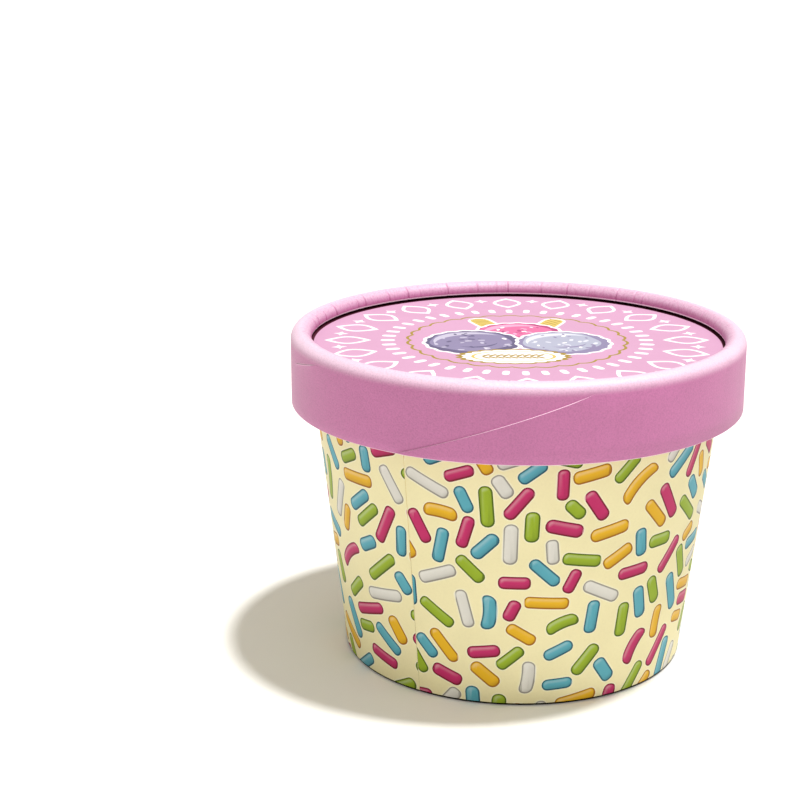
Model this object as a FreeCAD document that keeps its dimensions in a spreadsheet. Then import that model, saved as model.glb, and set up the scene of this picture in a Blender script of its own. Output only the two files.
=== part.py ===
"""Lidded paper dessert cup, as a parametric document in millimetres.

The cup and its lid are four pieces of folded board:

  cup_wall  a cone wrapped from one blank, with a rolled rim, a folded hem and a lapped side seam
  cup_base  a round panel set up inside the wall, its turned-down edge held in the hem
  lid_ring  a strip rolled inward at the top, with a slanted lap and small creases in the roll
  lid_disc  a round panel below the roll, with its edge turned up inside it

Each piece is drawn as the line that its board follows in section, given the board's thickness and
turned about the upright axis. The origin is on the table under the centre of the cup, +Z is up and
-Y is the front.
"""

import FreeCAD, Part
import math
import os
from enum import IntEnum, auto

import Sketcher

SIZES = {
    # The cup
    "cup_height": (64.0, "table to the top of the rolled rim"),
    "foot_radius": (35.2, "outer face of the wall, carried down to the table"),
    "wall_taper": (6.6, "degrees that the wall leans outward"),
    "cup_board": (0.4, "thickness of the wall's board"),
    "rim_roll": (1.7, "outer radius of the rolled rim"),
    "rim_curl": (1.1, "outer radius of the last turn inside the rim"),
    "hem_height": (6.0, "length of board turned up inside the base panel's edge"),
    "fold_radius": (0.15, "inner radius of a pressed fold"),
    "glue_gap": (0.08, "space for glue between two layers"),
    "seam_width": (7.0, "width of the side seam's lap at the foot"),
    "seam_azimuth": (225.0, "degrees round the cup to the seam's cut edge"),
    "base_board": (0.4, "thickness of the base panel's board"),
    "base_recess": (8.0, "table to the underside of the base panel"),
    # The lid
    "lid_clearance": (0.3, "between the rim and the inside of the lid, all round"),
    "seat_clearance": (0.3, "between the top of the rim and the lid's panel"),
    "lid_board": (0.45, "thickness of the lid ring's board"),
    "lid_height": (15.2, "top of the lid to the lower edge of its skirt"),
    "bead_radius": (2.1, "outer radius of the roll on top of the lid"),
    "disc_board": (0.45, "thickness of the lid panel's board"),
    "disc_depth": (3.2, "top of the lid to the face of its panel"),
    "edge_gap": (0.55, "between the roll's cut edge and the panel"),
    "lap_board": (0.3, "how far the ring's outer end stands proud"),
    "lap_azimuth": (258.0, "degrees round the lid to the middle of the slanted lap"),
    "lap_reach": (47.0, "degrees round the lid that the slanted edge takes"),
    "lap_cover": (8.0, "degrees that the lap goes on past its slanted edge"),
    "pleat_count": (46, "creases gathered into the lid's roll"),
    "pleat_radius": (0.4, "radius of the round bottom of a crease"),
    "pleat_depth": (0.16, "how deep a crease cuts into the roll"),
    "pleat_wander": (2.4, "degrees that a crease strays from even spacing"),
}

# Places that follow from the sizes, written as expressions on the sheet's cells.
SLANT = "cos(Sizes.wall_taper)"
WALL_AT = "(Sizes.foot_radius + {height} * tan(Sizes.wall_taper))"
FOLD_OUTSIDE = "(Sizes.cup_board + Sizes.fold_radius)"
POCKET = "(Sizes.base_board + 2 * Sizes.glue_gap)"
FOOT_FOLD_X = f"({WALL_AT.format(height=FOLD_OUTSIDE)} - {FOLD_OUTSIDE} / {SLANT})"
RIM_Z = "(Sizes.cup_height - Sizes.rim_roll)"
RIM_X = f"({WALL_AT.format(height=RIM_Z)} + (Sizes.rim_roll - Sizes.cup_board) / {SLANT})"
RIM_RADIUS = f"({RIM_X} + Sizes.rim_roll)"

BASE_FACE = "(Sizes.base_recess + Sizes.base_board)"
BASE_CORNER = "(Sizes.fold_radius + Sizes.base_board)"
BASE_CORNER_Z = f"({BASE_FACE} - {BASE_CORNER})"
BASE_FOOT_Z = "(Sizes.cup_board + Sizes.glue_gap)"

LID_INSIDE = f"({RIM_RADIUS} + Sizes.lid_clearance)"
LID_RADIUS = f"({LID_INSIDE} + Sizes.lid_board)"
DISC_UNDERSIDE = "(Sizes.cup_height + Sizes.seat_clearance)"
DISC_FACE = f"({DISC_UNDERSIDE} + Sizes.disc_board)"
DISC_CORNER = "(Sizes.fold_radius + Sizes.disc_board)"
DISC_RADIUS = f"({LID_INSIDE} - Sizes.glue_gap)"
LID_TOP = f"({DISC_FACE} + Sizes.disc_depth)"
LID_FOOT = f"({LID_TOP} - Sizes.lid_height)"
BEAD_X = f"({LID_RADIUS} - Sizes.bead_radius)"
BEAD_Z = f"({LID_TOP} - Sizes.bead_radius)"
ROLL_FACE = f"({BEAD_X} - Sizes.bead_radius)"
ROLL_EDGE = f"({DISC_FACE} + Sizes.edge_gap)"

NODES = ("cup_wall", "cup_base", "lid_ring", "lid_disc")

doc = FreeCAD.newDocument("DessertCup")


class Spot(IntEnum):
    """The point of a sketch's line or arc that a constraint holds."""

    START = auto()
    END = auto()
    CENTRE = auto()


class OwnLine(IntEnum):
    """A line that every sketch has, by the number that the sketcher gives it."""

    LEVEL = -1
    UPRIGHT = -2


ORIGIN = (OwnLine.LEVEL, Spot.START)  # the sketch's own origin
AXIS = OwnLine.UPRIGHT  # which is the cup's axis


def make_sheet():
    """Put every driving size in the spreadsheet, with its name and what it measures."""
    cells = doc.addObject("Spreadsheet::Sheet", "Sizes")
    for row, (name, (value, meaning)) in enumerate(SIZES.items(), start=1):
        cells.set(f"A{row}", name)
        cells.set(f"B{row}", str(value))
        cells.set(f"C{row}", meaning)
        cells.setAlias(f"B{row}", name)
    doc.recompute()
    return cells


def value_of(expression):
    """Work out an expression on the sheet's cells, for a sketch's first guess or a loop."""
    result = sheet.evalExpression(expression)
    return float(getattr(result, "Value", result))


class BoardLine:
    """The open line that a folded board follows in section, as a sketch of lines and arcs.

    The sketch's x is the distance from the cup's axis and its y is the height. Each stretch runs
    on from the last one without a corner, so the sizes only say where the board is folded.
    """

    def __init__(self, name):
        self.sketch = doc.addObject("Sketcher::SketchObject", name + "_line")
        upright = FreeCAD.Rotation(FreeCAD.Vector(0, 0, 1), FreeCAD.Vector(0, -1, 0))
        self.sketch.Placement = FreeCAD.Placement(FreeCAD.Vector(), upright)

    def straight(self, start, end):
        """Add a straight stretch between two (x, y) points and return its index."""
        line = Part.LineSegment(FreeCAD.Vector(*start), FreeCAD.Vector(*end))
        return self.sketch.addGeometry(line, False)

    def bend(self, centre, radius, first, last):
        """Add an arc that runs counter-clockwise from angle first to angle last, in radians."""
        circle = Part.Circle(FreeCAD.Vector(*centre), FreeCAD.Vector(0, 0, 1), radius)
        return self.sketch.addGeometry(Part.ArcOfCircle(circle, first, last), False)

    def rule(self, kind, *where):
        """Add a constraint that has no size of its own."""
        self.sketch.addConstraint(Sketcher.Constraint(kind, *where))

    def smooth(self, one, one_point, other, other_point):
        """Join two stretches end to end with no corner."""
        self.rule("Tangent", one, one_point, other, other_point)

    def size(self, kind, expression, *where):
        """Add a constraint whose size is bound to an expression on the sheet's cells."""
        index = self.sketch.addConstraint(
            Sketcher.Constraint(kind, *where, value_of(expression))
        )
        self.sketch.setExpression(f"Constraints[{index}]", expression)

    def place(self, index, point, across=None, up=None):
        """Hold a point at its distance from the axis, its height above the table, or both."""
        if across is not None:
            self.size("DistanceX", across, *ORIGIN, index, point)
        if up is not None:
            self.size("DistanceY", up, *ORIGIN, index, point)


def turn(name, line, board):
    """Give a board's line its thickness and turn it about the axis.

    A positive board lies on the left of the line's own direction, and a negative one on its right.
    """
    section = doc.addObject("Part::Offset2D", name + "_section")
    section.Source = line.sketch
    section.setExpression("Value", board)
    section.Mode = "Skin"  # the board lies on one side of its line only
    section.Fill = True
    turned = doc.addObject("Part::Revolution", name + "_turned")
    turned.Source = section
    turned.Axis = FreeCAD.Vector(0, 0, 1)
    turned.Solid = True
    return turned


def cup_wall_line():
    """The inner face of the hem and wall, which goes on as the outer face of the rolled rim."""
    taper = math.radians(value_of("Sizes.wall_taper"))
    across, rise = math.cos(taper), math.sin(taper)
    board, fold = value_of("Sizes.cup_board"), value_of("Sizes.fold_radius")
    roll, curl = value_of("Sizes.rim_roll"), value_of("Sizes.rim_curl")
    hem, pocket = value_of("Sizes.hem_height"), value_of(POCKET)
    foot_x, fold_z = value_of(FOOT_FOLD_X), board + fold
    hem_x = foot_x - pocket + 2 * fold
    rim_x, rim_z = value_of(RIM_X), value_of(RIM_Z)
    hem_foot = (hem_x - fold * across, fold_z + fold * rise)
    hem_top = (hem_foot[0] + hem * rise, hem_foot[1] + hem * across)
    wall_foot = (foot_x + fold * across, fold_z - fold * rise)
    wall_top = (rim_x - roll * across, rim_z + roll * rise)

    line = BoardLine("cup_wall")
    hem_leg = line.straight(hem_top, hem_foot)
    hem_fold = line.bend((hem_x, fold_z), fold, math.pi - taper, 1.5 * math.pi)
    land = line.straight((hem_x, board), (foot_x, board))
    foot_fold = line.bend((foot_x, fold_z), fold, -math.pi / 2, -taper)
    wall = line.straight(wall_foot, wall_top)
    rim = line.bend((rim_x, rim_z), roll, -math.pi / 2, math.pi - taper)
    last_turn = line.bend((rim_x, rim_z - roll + curl), curl, math.pi, 1.5 * math.pi)

    line.smooth(hem_leg, Spot.END, hem_fold, Spot.START)
    line.smooth(hem_fold, Spot.END, land, Spot.START)
    line.smooth(land, Spot.END, foot_fold, Spot.START)
    line.smooth(foot_fold, Spot.END, wall, Spot.START)
    line.smooth(wall, Spot.END, rim, Spot.END)
    line.smooth(rim, Spot.START, last_turn, Spot.END)
    line.rule("Horizontal", land)
    line.rule("Parallel", hem_leg, wall)
    line.rule("Vertical", rim, Spot.CENTRE, rim, Spot.START)
    line.rule("Horizontal", last_turn, Spot.CENTRE, last_turn, Spot.START)
    line.size("Radius", "Sizes.fold_radius", hem_fold)
    line.size("Radius", "Sizes.fold_radius", foot_fold)
    line.size("Radius", "Sizes.rim_roll", rim)
    line.size("Radius", "Sizes.rim_curl", last_turn)
    line.size("Distance", "Sizes.hem_height", hem_leg)
    line.size("Distance", POCKET, hem_leg, Spot.END, wall)
    line.place(foot_fold, Spot.CENTRE, across=FOOT_FOLD_X)
    line.place(land, Spot.END, up="Sizes.cup_board")
    line.place(rim, Spot.CENTRE, across=RIM_X, up=RIM_Z)
    return line


def seam_lap():
    """The side seam's outer layer: a strip of a second cone, sunk half a board into the wall."""
    low, high = FOLD_OUTSIDE, f"({RIM_Z} - 2 * Sizes.rim_roll)"
    cones = []
    for name, boards in (("outer", 1), ("inner", -0.5)):
        extra = f" + {boards} * Sizes.cup_board / {SLANT}"
        cone = doc.addObject("Part::Cone", f"seam_{name}_cone")
        cone.setExpression("Radius1", WALL_AT.format(height=low) + extra)
        cone.setExpression("Radius2", WALL_AT.format(height=high) + extra)
        cone.setExpression("Height", f"{high} - {low}")
        cone.setExpression("Angle", "Sizes.seam_width / Sizes.foot_radius * 180 / pi")
        cone.setExpression(
            "Placement", f"placement(vector(0; 0; {low}); rotationz(Sizes.seam_azimuth))"
        )
        cones.append(cone)
    lap = doc.addObject("Part::Cut", "seam_lap")
    lap.Base, lap.Tool = cones
    return lap


def build_cup_wall():
    """Wall, hem and rolled rim in one turn of the board, with the side seam's lap on it."""
    whole = doc.addObject("Part::Fuse", "cup_wall_piece")
    whole.Base = turn("cup_wall", cup_wall_line(), "-Sizes.cup_board")
    whole.Tool = seam_lap()
    whole.Label = "cup_wall"


def build_cup_base():
    """Round panel whose edge is turned down between the wall and the hem."""
    edge_at = f"({WALL_AT} - {BASE_FOOT_Z} / {SLANT})"
    foot_x = edge_at.format(height=BASE_FOOT_Z)
    corner_x = f"({edge_at.format(height=BASE_CORNER_Z)} - {BASE_CORNER} / {SLANT})"
    taper = math.radians(value_of("Sizes.wall_taper"))
    across, rise = math.cos(taper), math.sin(taper)
    radius, face = value_of(BASE_CORNER), value_of(BASE_FACE)
    middle = (value_of(corner_x), value_of(BASE_CORNER_Z))
    edge_top = (middle[0] + radius * across, middle[1] - radius * rise)
    edge_foot = (value_of(foot_x), value_of(BASE_FOOT_Z))

    line = BoardLine("cup_base")
    panel = line.straight((0, face), (middle[0], face))
    corner = line.bend(middle, radius, -taper, math.pi / 2)
    edge = line.straight(edge_top, edge_foot)
    line.smooth(panel, Spot.END, corner, Spot.END)
    line.smooth(corner, Spot.START, edge, Spot.START)
    line.rule("Horizontal", panel)
    line.rule("PointOnObject", panel, Spot.START, AXIS)
    line.size("Radius", BASE_CORNER, corner)
    line.place(corner, Spot.CENTRE, across=corner_x)
    line.place(panel, Spot.END, up=BASE_FACE)
    line.place(edge, Spot.END, across=foot_x, up=BASE_FOOT_Z)
    turn("cup_base", line, "-Sizes.base_board").Label = "cup_base"


def lid_ring_line():
    """The outer face of the lid's skirt and of the roll on top of it."""
    radius, foot = value_of(LID_RADIUS), value_of(LID_FOOT)
    bead_x, bead_z = value_of(BEAD_X), value_of(BEAD_Z)
    bead_radius, roll_face = value_of("Sizes.bead_radius"), value_of(ROLL_FACE)

    line = BoardLine("lid_ring")
    skirt = line.straight((radius, foot), (radius, bead_z))
    bead = line.bend((bead_x, bead_z), bead_radius, 0, math.pi)
    leg = line.straight((roll_face, bead_z), (roll_face, value_of(ROLL_EDGE)))
    line.smooth(skirt, Spot.END, bead, Spot.START)
    line.smooth(bead, Spot.END, leg, Spot.START)
    line.rule("Vertical", skirt)
    line.rule("Vertical", leg)
    line.size("Radius", "Sizes.bead_radius", bead)
    line.place(skirt, Spot.START, across=LID_RADIUS, up=LID_FOOT)
    line.place(bead, Spot.CENTRE, up=BEAD_Z)
    line.place(leg, Spot.END, up=ROLL_EDGE)
    return line


def skirt_lap():
    """The outer end of the lid's strip: a second layer on the skirt, cut off at a slant."""
    shells = []
    for name, radius in (
        ("outer", f"{LID_RADIUS} + Sizes.lap_board"),
        ("inner", f"{LID_RADIUS} - Sizes.lid_board / 2"),
    ):
        shell = doc.addObject("Part::Cylinder", f"lap_{name}_shell")
        shell.setExpression("Radius", radius)
        shell.setExpression("Height", f"{BEAD_Z} - {LID_FOOT}")
        shell.setExpression("Angle", "Sizes.lap_reach + Sizes.lap_cover")
        shell.setExpression(
            "Placement",
            f"placement(vector(0; 0; {LID_FOOT});"
            " rotationz(Sizes.lap_azimuth - Sizes.lap_reach / 2))",
        )
        shells.append(shell)
    layer = doc.addObject("Part::Cut", "lap_layer")
    layer.Base, layer.Tool = shells

    # The block's top face is the slanted cut. It rises with the azimuth, so the layer under it
    # starts at the skirt's lower edge and reaches the bead where the lap's reach ends.
    block = doc.addObject("Part::Box", "lap_slant")
    block.setExpression("Length", f"2 * {LID_RADIUS}")
    block.setExpression("Width", f"4 * {LID_RADIUS}")
    block.setExpression("Height", f"2 * {LID_RADIUS}")
    half_run = f"({LID_RADIUS} * sin(Sizes.lap_reach / 2))"
    slope = f"atan(({BEAD_Z} - {LID_FOOT}) / (2 * {half_run}))"
    block.setExpression(
        "Placement",
        f"placement(vector(0; 0; ({BEAD_Z} + {LID_FOOT}) / 2);"
        f" rotationz(Sizes.lap_azimuth) * rotationx({slope}))"
        f" * placement(vector(0; -2 * {LID_RADIUS}; -2 * {LID_RADIUS}); rotationz(0))",
    )
    lap = doc.addObject("Part::Common", "skirt_lap")
    lap.Base, lap.Tool = layer, block
    return lap


def gathered_creases():
    """Upright round-bottomed creases all round the inner face of the lid's roll."""
    away = f"({ROLL_FACE} + Sizes.pleat_depth - Sizes.pleat_radius)"
    count = round(value_of("Sizes.pleat_count"))
    creases = []
    for number in range(count):
        even = math.degrees(math.tau * number / count)
        stray = math.sin(number * number)  # from -1 to 1, with no pattern to it
        azimuth = f"({even} + {stray} * Sizes.pleat_wander)"
        crease = doc.addObject("Part::Cylinder", f"crease_{number + 1}")
        crease.setExpression("Radius", "Sizes.pleat_radius")
        crease.setExpression("Height", f"{LID_TOP} - {DISC_FACE}")
        crease.setExpression("Placement.Base.x", f"{away} * cos({azimuth})")
        crease.setExpression("Placement.Base.y", f"{away} * sin({azimuth})")
        crease.setExpression("Placement.Base.z", DISC_FACE)
        creases.append(crease)
    bundle = doc.addObject("Part::Compound", "creases")
    bundle.Links = creases
    return bundle


def build_lid_ring():
    """Strip of board with its top rolled inward, its slanted lap and its gathered creases."""
    lapped = doc.addObject("Part::Fuse", "lapped_ring")
    lapped.Base = turn("lid_ring", lid_ring_line(), "Sizes.lid_board")
    lapped.Tool = skirt_lap()
    creased = doc.addObject("Part::Cut", "lid_ring_piece")
    creased.Base, creased.Tool = lapped, gathered_creases()
    creased.Label = "lid_ring"


def build_lid_disc():
    """Round panel just above the rim, with its edge turned up inside the roll."""
    outside, under = value_of(DISC_RADIUS), value_of(DISC_UNDERSIDE)
    radius, top = value_of(DISC_CORNER), value_of(BEAD_Z)
    middle = (outside - radius, under + radius)

    line = BoardLine("lid_disc")
    panel = line.straight((0, under), (middle[0], under))
    corner = line.bend(middle, radius, -math.pi / 2, 0)
    flange = line.straight((outside, middle[1]), (outside, top))
    line.smooth(panel, Spot.END, corner, Spot.START)
    line.smooth(corner, Spot.END, flange, Spot.START)
    line.rule("Horizontal", panel)
    line.rule("Vertical", flange)
    line.rule("PointOnObject", panel, Spot.START, AXIS)
    line.size("Radius", DISC_CORNER, corner)
    line.place(panel, Spot.END, up=DISC_UNDERSIDE)
    line.place(flange, Spot.END, across=DISC_RADIUS, up=BEAD_Z)
    turn("lid_disc", line, "Sizes.disc_board").Label = "lid_disc"


def check_document():
    """Stop if any object failed to build or any piece is not one sound solid."""
    for item in doc.Objects:
        if {"Invalid", "Error"} & set(item.State):
            raise RuntimeError(f"{item.Name} did not build: {item.State}")
    for node in NODES:
        shape = doc.getObjectsByLabel(node)[0].Shape
        if shape.isNull() or not shape.isValid() or len(shape.Solids) != 1:
            raise RuntimeError(f"{node} is not one sound solid")


def write_pieces():
    """Write each piece to its own file and say how large it is."""
    os.makedirs("parts", exist_ok=True)
    for node in NODES:
        shape = doc.getObjectsByLabel(node)[0].Shape
        shape.exportStep(f"parts/{node}.step")
        box = shape.optimalBoundingBox()
        print(
            f"{node}: {box.XLength:.2f} x {box.YLength:.2f} mm, z {box.ZMin:.2f} to"
            f" {box.ZMax:.2f}, {shape.Volume:.0f} mm3"
        )


sheet = make_sheet()
build_cup_wall()
build_cup_base()
build_lid_ring()
build_lid_disc()
doc.recompute()
check_document()
write_pieces()
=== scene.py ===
"""Dresses the lidded paper dessert cup: printed wall, white base, rolled pink lid, printed panel.

Sizes are in millimetres and angles in degrees, as they are on the drawing of the cup. They become
metres only where a mesh is written. The frame gives the places that the pieces have to keep.
"""

import logging
import math
import random
from dataclasses import dataclass, field
from enum import Enum, IntEnum
from functools import partial
from typing import Callable, Iterable, NamedTuple, Sequence

import bmesh
import bpy
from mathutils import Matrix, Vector
from mathutils.geometry import delaunay_2d_cdt


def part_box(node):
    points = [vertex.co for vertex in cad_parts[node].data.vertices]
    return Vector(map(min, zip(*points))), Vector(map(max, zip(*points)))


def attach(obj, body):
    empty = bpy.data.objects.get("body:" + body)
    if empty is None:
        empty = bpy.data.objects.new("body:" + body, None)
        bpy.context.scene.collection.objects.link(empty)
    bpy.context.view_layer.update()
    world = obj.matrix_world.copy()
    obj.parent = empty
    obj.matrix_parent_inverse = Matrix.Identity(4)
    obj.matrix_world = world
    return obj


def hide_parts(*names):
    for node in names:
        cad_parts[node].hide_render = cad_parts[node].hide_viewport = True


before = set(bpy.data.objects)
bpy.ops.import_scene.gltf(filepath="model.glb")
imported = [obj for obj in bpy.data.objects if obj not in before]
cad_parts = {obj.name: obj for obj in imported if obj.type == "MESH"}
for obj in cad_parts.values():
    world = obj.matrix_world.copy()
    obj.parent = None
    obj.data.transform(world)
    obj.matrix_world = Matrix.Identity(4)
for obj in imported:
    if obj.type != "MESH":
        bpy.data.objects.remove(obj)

logging.basicConfig(level=logging.INFO, format="%(name)s: %(message)s")
log = logging.getLogger("dessert_cup")

MM = 0.001
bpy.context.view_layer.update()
MERGED = 2e-6  # metres: corners this close are one
VANISHING = 1e-7  # metres: an edge this short is none
SHARP = 50.0  # degrees: an edge that turns more than this is shaded as a sharp one
SPLIT = 1e-4  # mm: drawn lines this close are one
HOLLOW = 2e-3  # mm: a triangle whose middle is less far in from an arc only bridges its hollow
OUTSIDE = 1e-3  # mm: the least that a place outside a shape is marked with
FAR = 1.0  # mm: a bar this far from a place isn't looked for
TIP = 1.6  # a petal's line is this many times as thick at its two tips as at its sides

Place = tuple[float, float]
Tone = tuple[float, float, float]


def colour(text: str) -> Tone:
    """Turn a colour as a screen shows it, such as "e8a0c8", into the linear values a shader takes.

    Args:
        text: Six hexadecimal digits.

    Returns:
        Linear red, green and blue.
    """
    shown = [int(text[i : i + 2], 16) / 255 for i in (0, 2, 4)]
    return tuple(c / 12.92 if c <= 0.04045 else ((c + 0.055) / 1.055) ** 2.4 for c in shown)


class Ink(Enum):
    """The colours that the cup and the lid are printed in, with one of them a painted shade."""

    CREAM = "f2e9ba"
    MAGENTA = "c42c6a"
    LIME = "99b329"
    TEAL = "5babbd"
    AMBER = "e8b61f"
    PEARL = "dfddd6"
    PINK = "cf9fbf"
    WHITE = "fffafc"
    VIOLET = "8d84a6"
    VIOLET_DARK = "665f80"
    VIOLET_LIGHT = "c3bdd2"
    ROSE = "d9719f"
    ROSE_LIGHT = "eda6c6"
    ROSE_DARK = "b04b7c"
    SMOKE = "aeb0c4"
    SMOKE_LIGHT = "d9dae6"
    # Painted shade: near-black maroon printed on the panel where the roll shadows it.
    PAINTED_SHADE = "480c22"
    GOLD = "a58b3c"
    GOLD_LIGHT = "d8bd6a"


Drawn = tuple[list[Place], Ink]


def smooth(low: float, high: float, value: float) -> float:
    """Rise from 0 at low to 1 at high with no corner at either end."""
    t = min(max((value - low) / (high - low), 0.0), 1.0)
    return t * t * (3 - 2 * t)


def arc(centre: Place, radius: float, first: float, last: float, steps: int) -> list[Place]:
    """List points along an arc, its two ends included.

    Args:
        centre: The arc's centre.
        radius: Its radius.
        first: The angle it starts at.
        last: The angle it ends at, which may be the smaller one.
        steps: How many stretches it is cut into.

    Returns:
        One point more than there are steps.
    """
    turns = [math.radians(first + (last - first) * i / steps) for i in range(steps + 1)]
    return [(centre[0] + radius * math.cos(t), centre[1] + radius * math.sin(t)) for t in turns]


def around(radius: float, azimuth: float, height: float) -> Vector:
    """Place a point by its distance from the axis, its azimuth and its height, in metres."""
    turn = math.radians(azimuth)
    return Vector((radius * math.cos(turn), radius * math.sin(turn), height)) * MM


class Wire:
    """One output of a shader node, or a plain number, so that shader maths reads as Python."""

    def __init__(self, shader: "Shader", socket: bpy.types.NodeSocket) -> None:
        """Keep the socket and the shader that it belongs to."""
        self.shader, self.socket = shader, socket

    def _with(self, operation: str, first: object, second: object) -> "Wire":
        """Add one Math node that works on two values."""
        return self.shader.node("ShaderNodeMath", {"operation": operation}, {0: first, 1: second})

    def __add__(self, other: object) -> "Wire":
        """Return self + other."""
        return self._with("ADD", self, other)

    def __sub__(self, other: object) -> "Wire":
        """Return self - other."""
        return self._with("SUBTRACT", self, other)

    def __rsub__(self, other: object) -> "Wire":
        """Return other - self."""
        return self._with("SUBTRACT", other, self)

    def __mul__(self, other: object) -> "Wire":
        """Return self * other."""
        return self._with("MULTIPLY", self, other)

    __radd__, __rmul__ = __add__, __mul__

    def rise(self, low: float, high: float) -> "Wire":
        """Return 0 below low and 1 above high, with a smooth rise between them."""
        return self.shader.node("ShaderNodeMapRange", {"interpolation_type": "SMOOTHSTEP"},
                                {"Value": self, "From Min": low, "From Max": high})


def feed(tree: bpy.types.NodeTree, socket: bpy.types.NodeSocket, value: object) -> None:
    """Give an input socket a wire, another node's output, a colour or a plain value."""
    source = value.socket if isinstance(value, Wire) else value
    if isinstance(source, bpy.types.NodeSocket):
        tree.links.new(source, socket)
    elif socket.type == "RGBA" and len(source) == 3:
        socket.default_value = (*source, 1.0)
    else:
        socket.default_value = source


def add_node(tree: bpy.types.NodeTree, kind: str, settings: dict, inputs: dict) -> bpy.types.Node:
    """Add a node to a tree.

    Args:
        tree: The tree.
        kind: The node's type.
        settings: Its own properties, which are set first.
        inputs: What each input is fed, by name or number.

    Returns:
        The node.
    """
    made = tree.nodes.new(kind)
    for key, value in settings.items():
        setattr(made, key, value)
    for key, value in inputs.items():
        feed(tree, made.inputs[key], value)
    return made


@dataclass
class Shader:
    """A node material and the short ways to add to it."""

    name: str
    material: bpy.types.Material = field(init=False)

    def __post_init__(self) -> None:
        """Make the material with only a shader and an output in it."""
        self.material = bpy.data.materials.new(self.name)
        self.material.use_nodes = True
        self.tree = self.material.node_tree
        self.surface = self.tree.nodes["Principled BSDF"]

    def node(self, kind: str, settings: dict, inputs: dict, output: int | str = 0) -> Wire:
        """Add a node, as add_node does, and return the wire from one of its outputs."""
        return Wire(self, add_node(self.tree, kind, settings, inputs).outputs[output])

    def blend(self, share: object, one: object, other: object, mode: str = "MIX") -> Wire:
        """Blend two colours.

        Args:
            share: How much of the second colour there is, from 0 to 1.
            one: The first colour.
            other: The second colour.
            mode: How they are blended, such as MIX or MULTIPLY.

        Returns:
            The blended colour.
        """
        return self.node("ShaderNodeMix", {"data_type": "RGBA", "blend_type": mode},
                         {"Factor": share, 6: one, 7: other}, 2)

    def times(self, one: object, other: object) -> Wire:
        """Multiply one colour by another, which darkens it."""
        return self.blend(1.0, one, other, "MULTIPLY")

    def where(self) -> Wire:
        """Return the place on the piece, in metres from its own origin."""
        return self.node("ShaderNodeTexCoord", {}, {}, "Object")

    def noise(self, size: float, detail: float = 2.0, roughness: float = 0.5) -> Wire:
        """Return noise on the piece's own coordinates, whose grains are about size mm wide."""
        inputs = {"Scale": 1 / (size * MM), "Detail": detail, "Roughness": roughness}
        return self.node("ShaderNodeTexNoise", {}, {"Vector": self.where(), **inputs})

    def attribute(self, name: str, output: str) -> Wire:
        """Return what the mesh carries under a name: its Color or its Fac."""
        return self.node("ShaderNodeAttribute", {"attribute_name": name}, {}, output)

    def bump(self, height: Wire, depth: float) -> None:
        """Raise the surface by up to depth mm where height is 1."""
        bumped = self.node("ShaderNodeBump", {}, {"Distance": depth * MM, "Height": height})
        feed(self.tree, self.surface.inputs["Normal"], bumped)

    def dress(self, tone: object, roughness: float, gloss: float) -> bpy.types.Material:
        """Give the surface its colour, roughness and gloss, and return the finished material."""
        for name, value in (("Base Color", tone), ("Roughness", roughness),
                            ("Specular IOR Level", gloss)):
            feed(self.tree, self.surface.inputs[name], value)
        return self.material


@dataclass(frozen=True)
class BoardFinish:
    """Bare or evenly dyed paper board, or board coloured dark as painted shade: a fine grain, soft
    mottling and hardly any gloss.
    """

    name: str
    tone: str
    roughness: float = 0.75
    gloss: float = 0.3
    speckle: float = 0.10
    mottle: float = 0.06
    grain: float = 0.35
    relief: float = 0.03
    patch: float = 24.0
    shade: Tone = (0.5, 0.5, 0.5)
    grain_shows: Place = (0.35, 0.75)
    patch_shows: Place = (0.3, 0.7)

    def ground(self, shader: Shader) -> object:
        """Give the paper's own colour, as a colour or a wire."""
        return colour(self.tone)

    def make(self) -> bpy.types.Material:
        """Build the material."""
        shader = Shader(self.name)
        tone = self.ground(shader)
        fine, broad = shader.noise(self.grain, 3.0, 0.65), shader.noise(self.grain * self.patch)
        share = fine.rise(*self.grain_shows) * self.speckle
        share = share + broad.rise(*self.patch_shows) * self.mottle
        shader.bump(fine, self.relief)
        tone = shader.blend(share, tone, shader.times(tone, self.shade))
        return shader.dress(tone, self.roughness, self.gloss)


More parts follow.
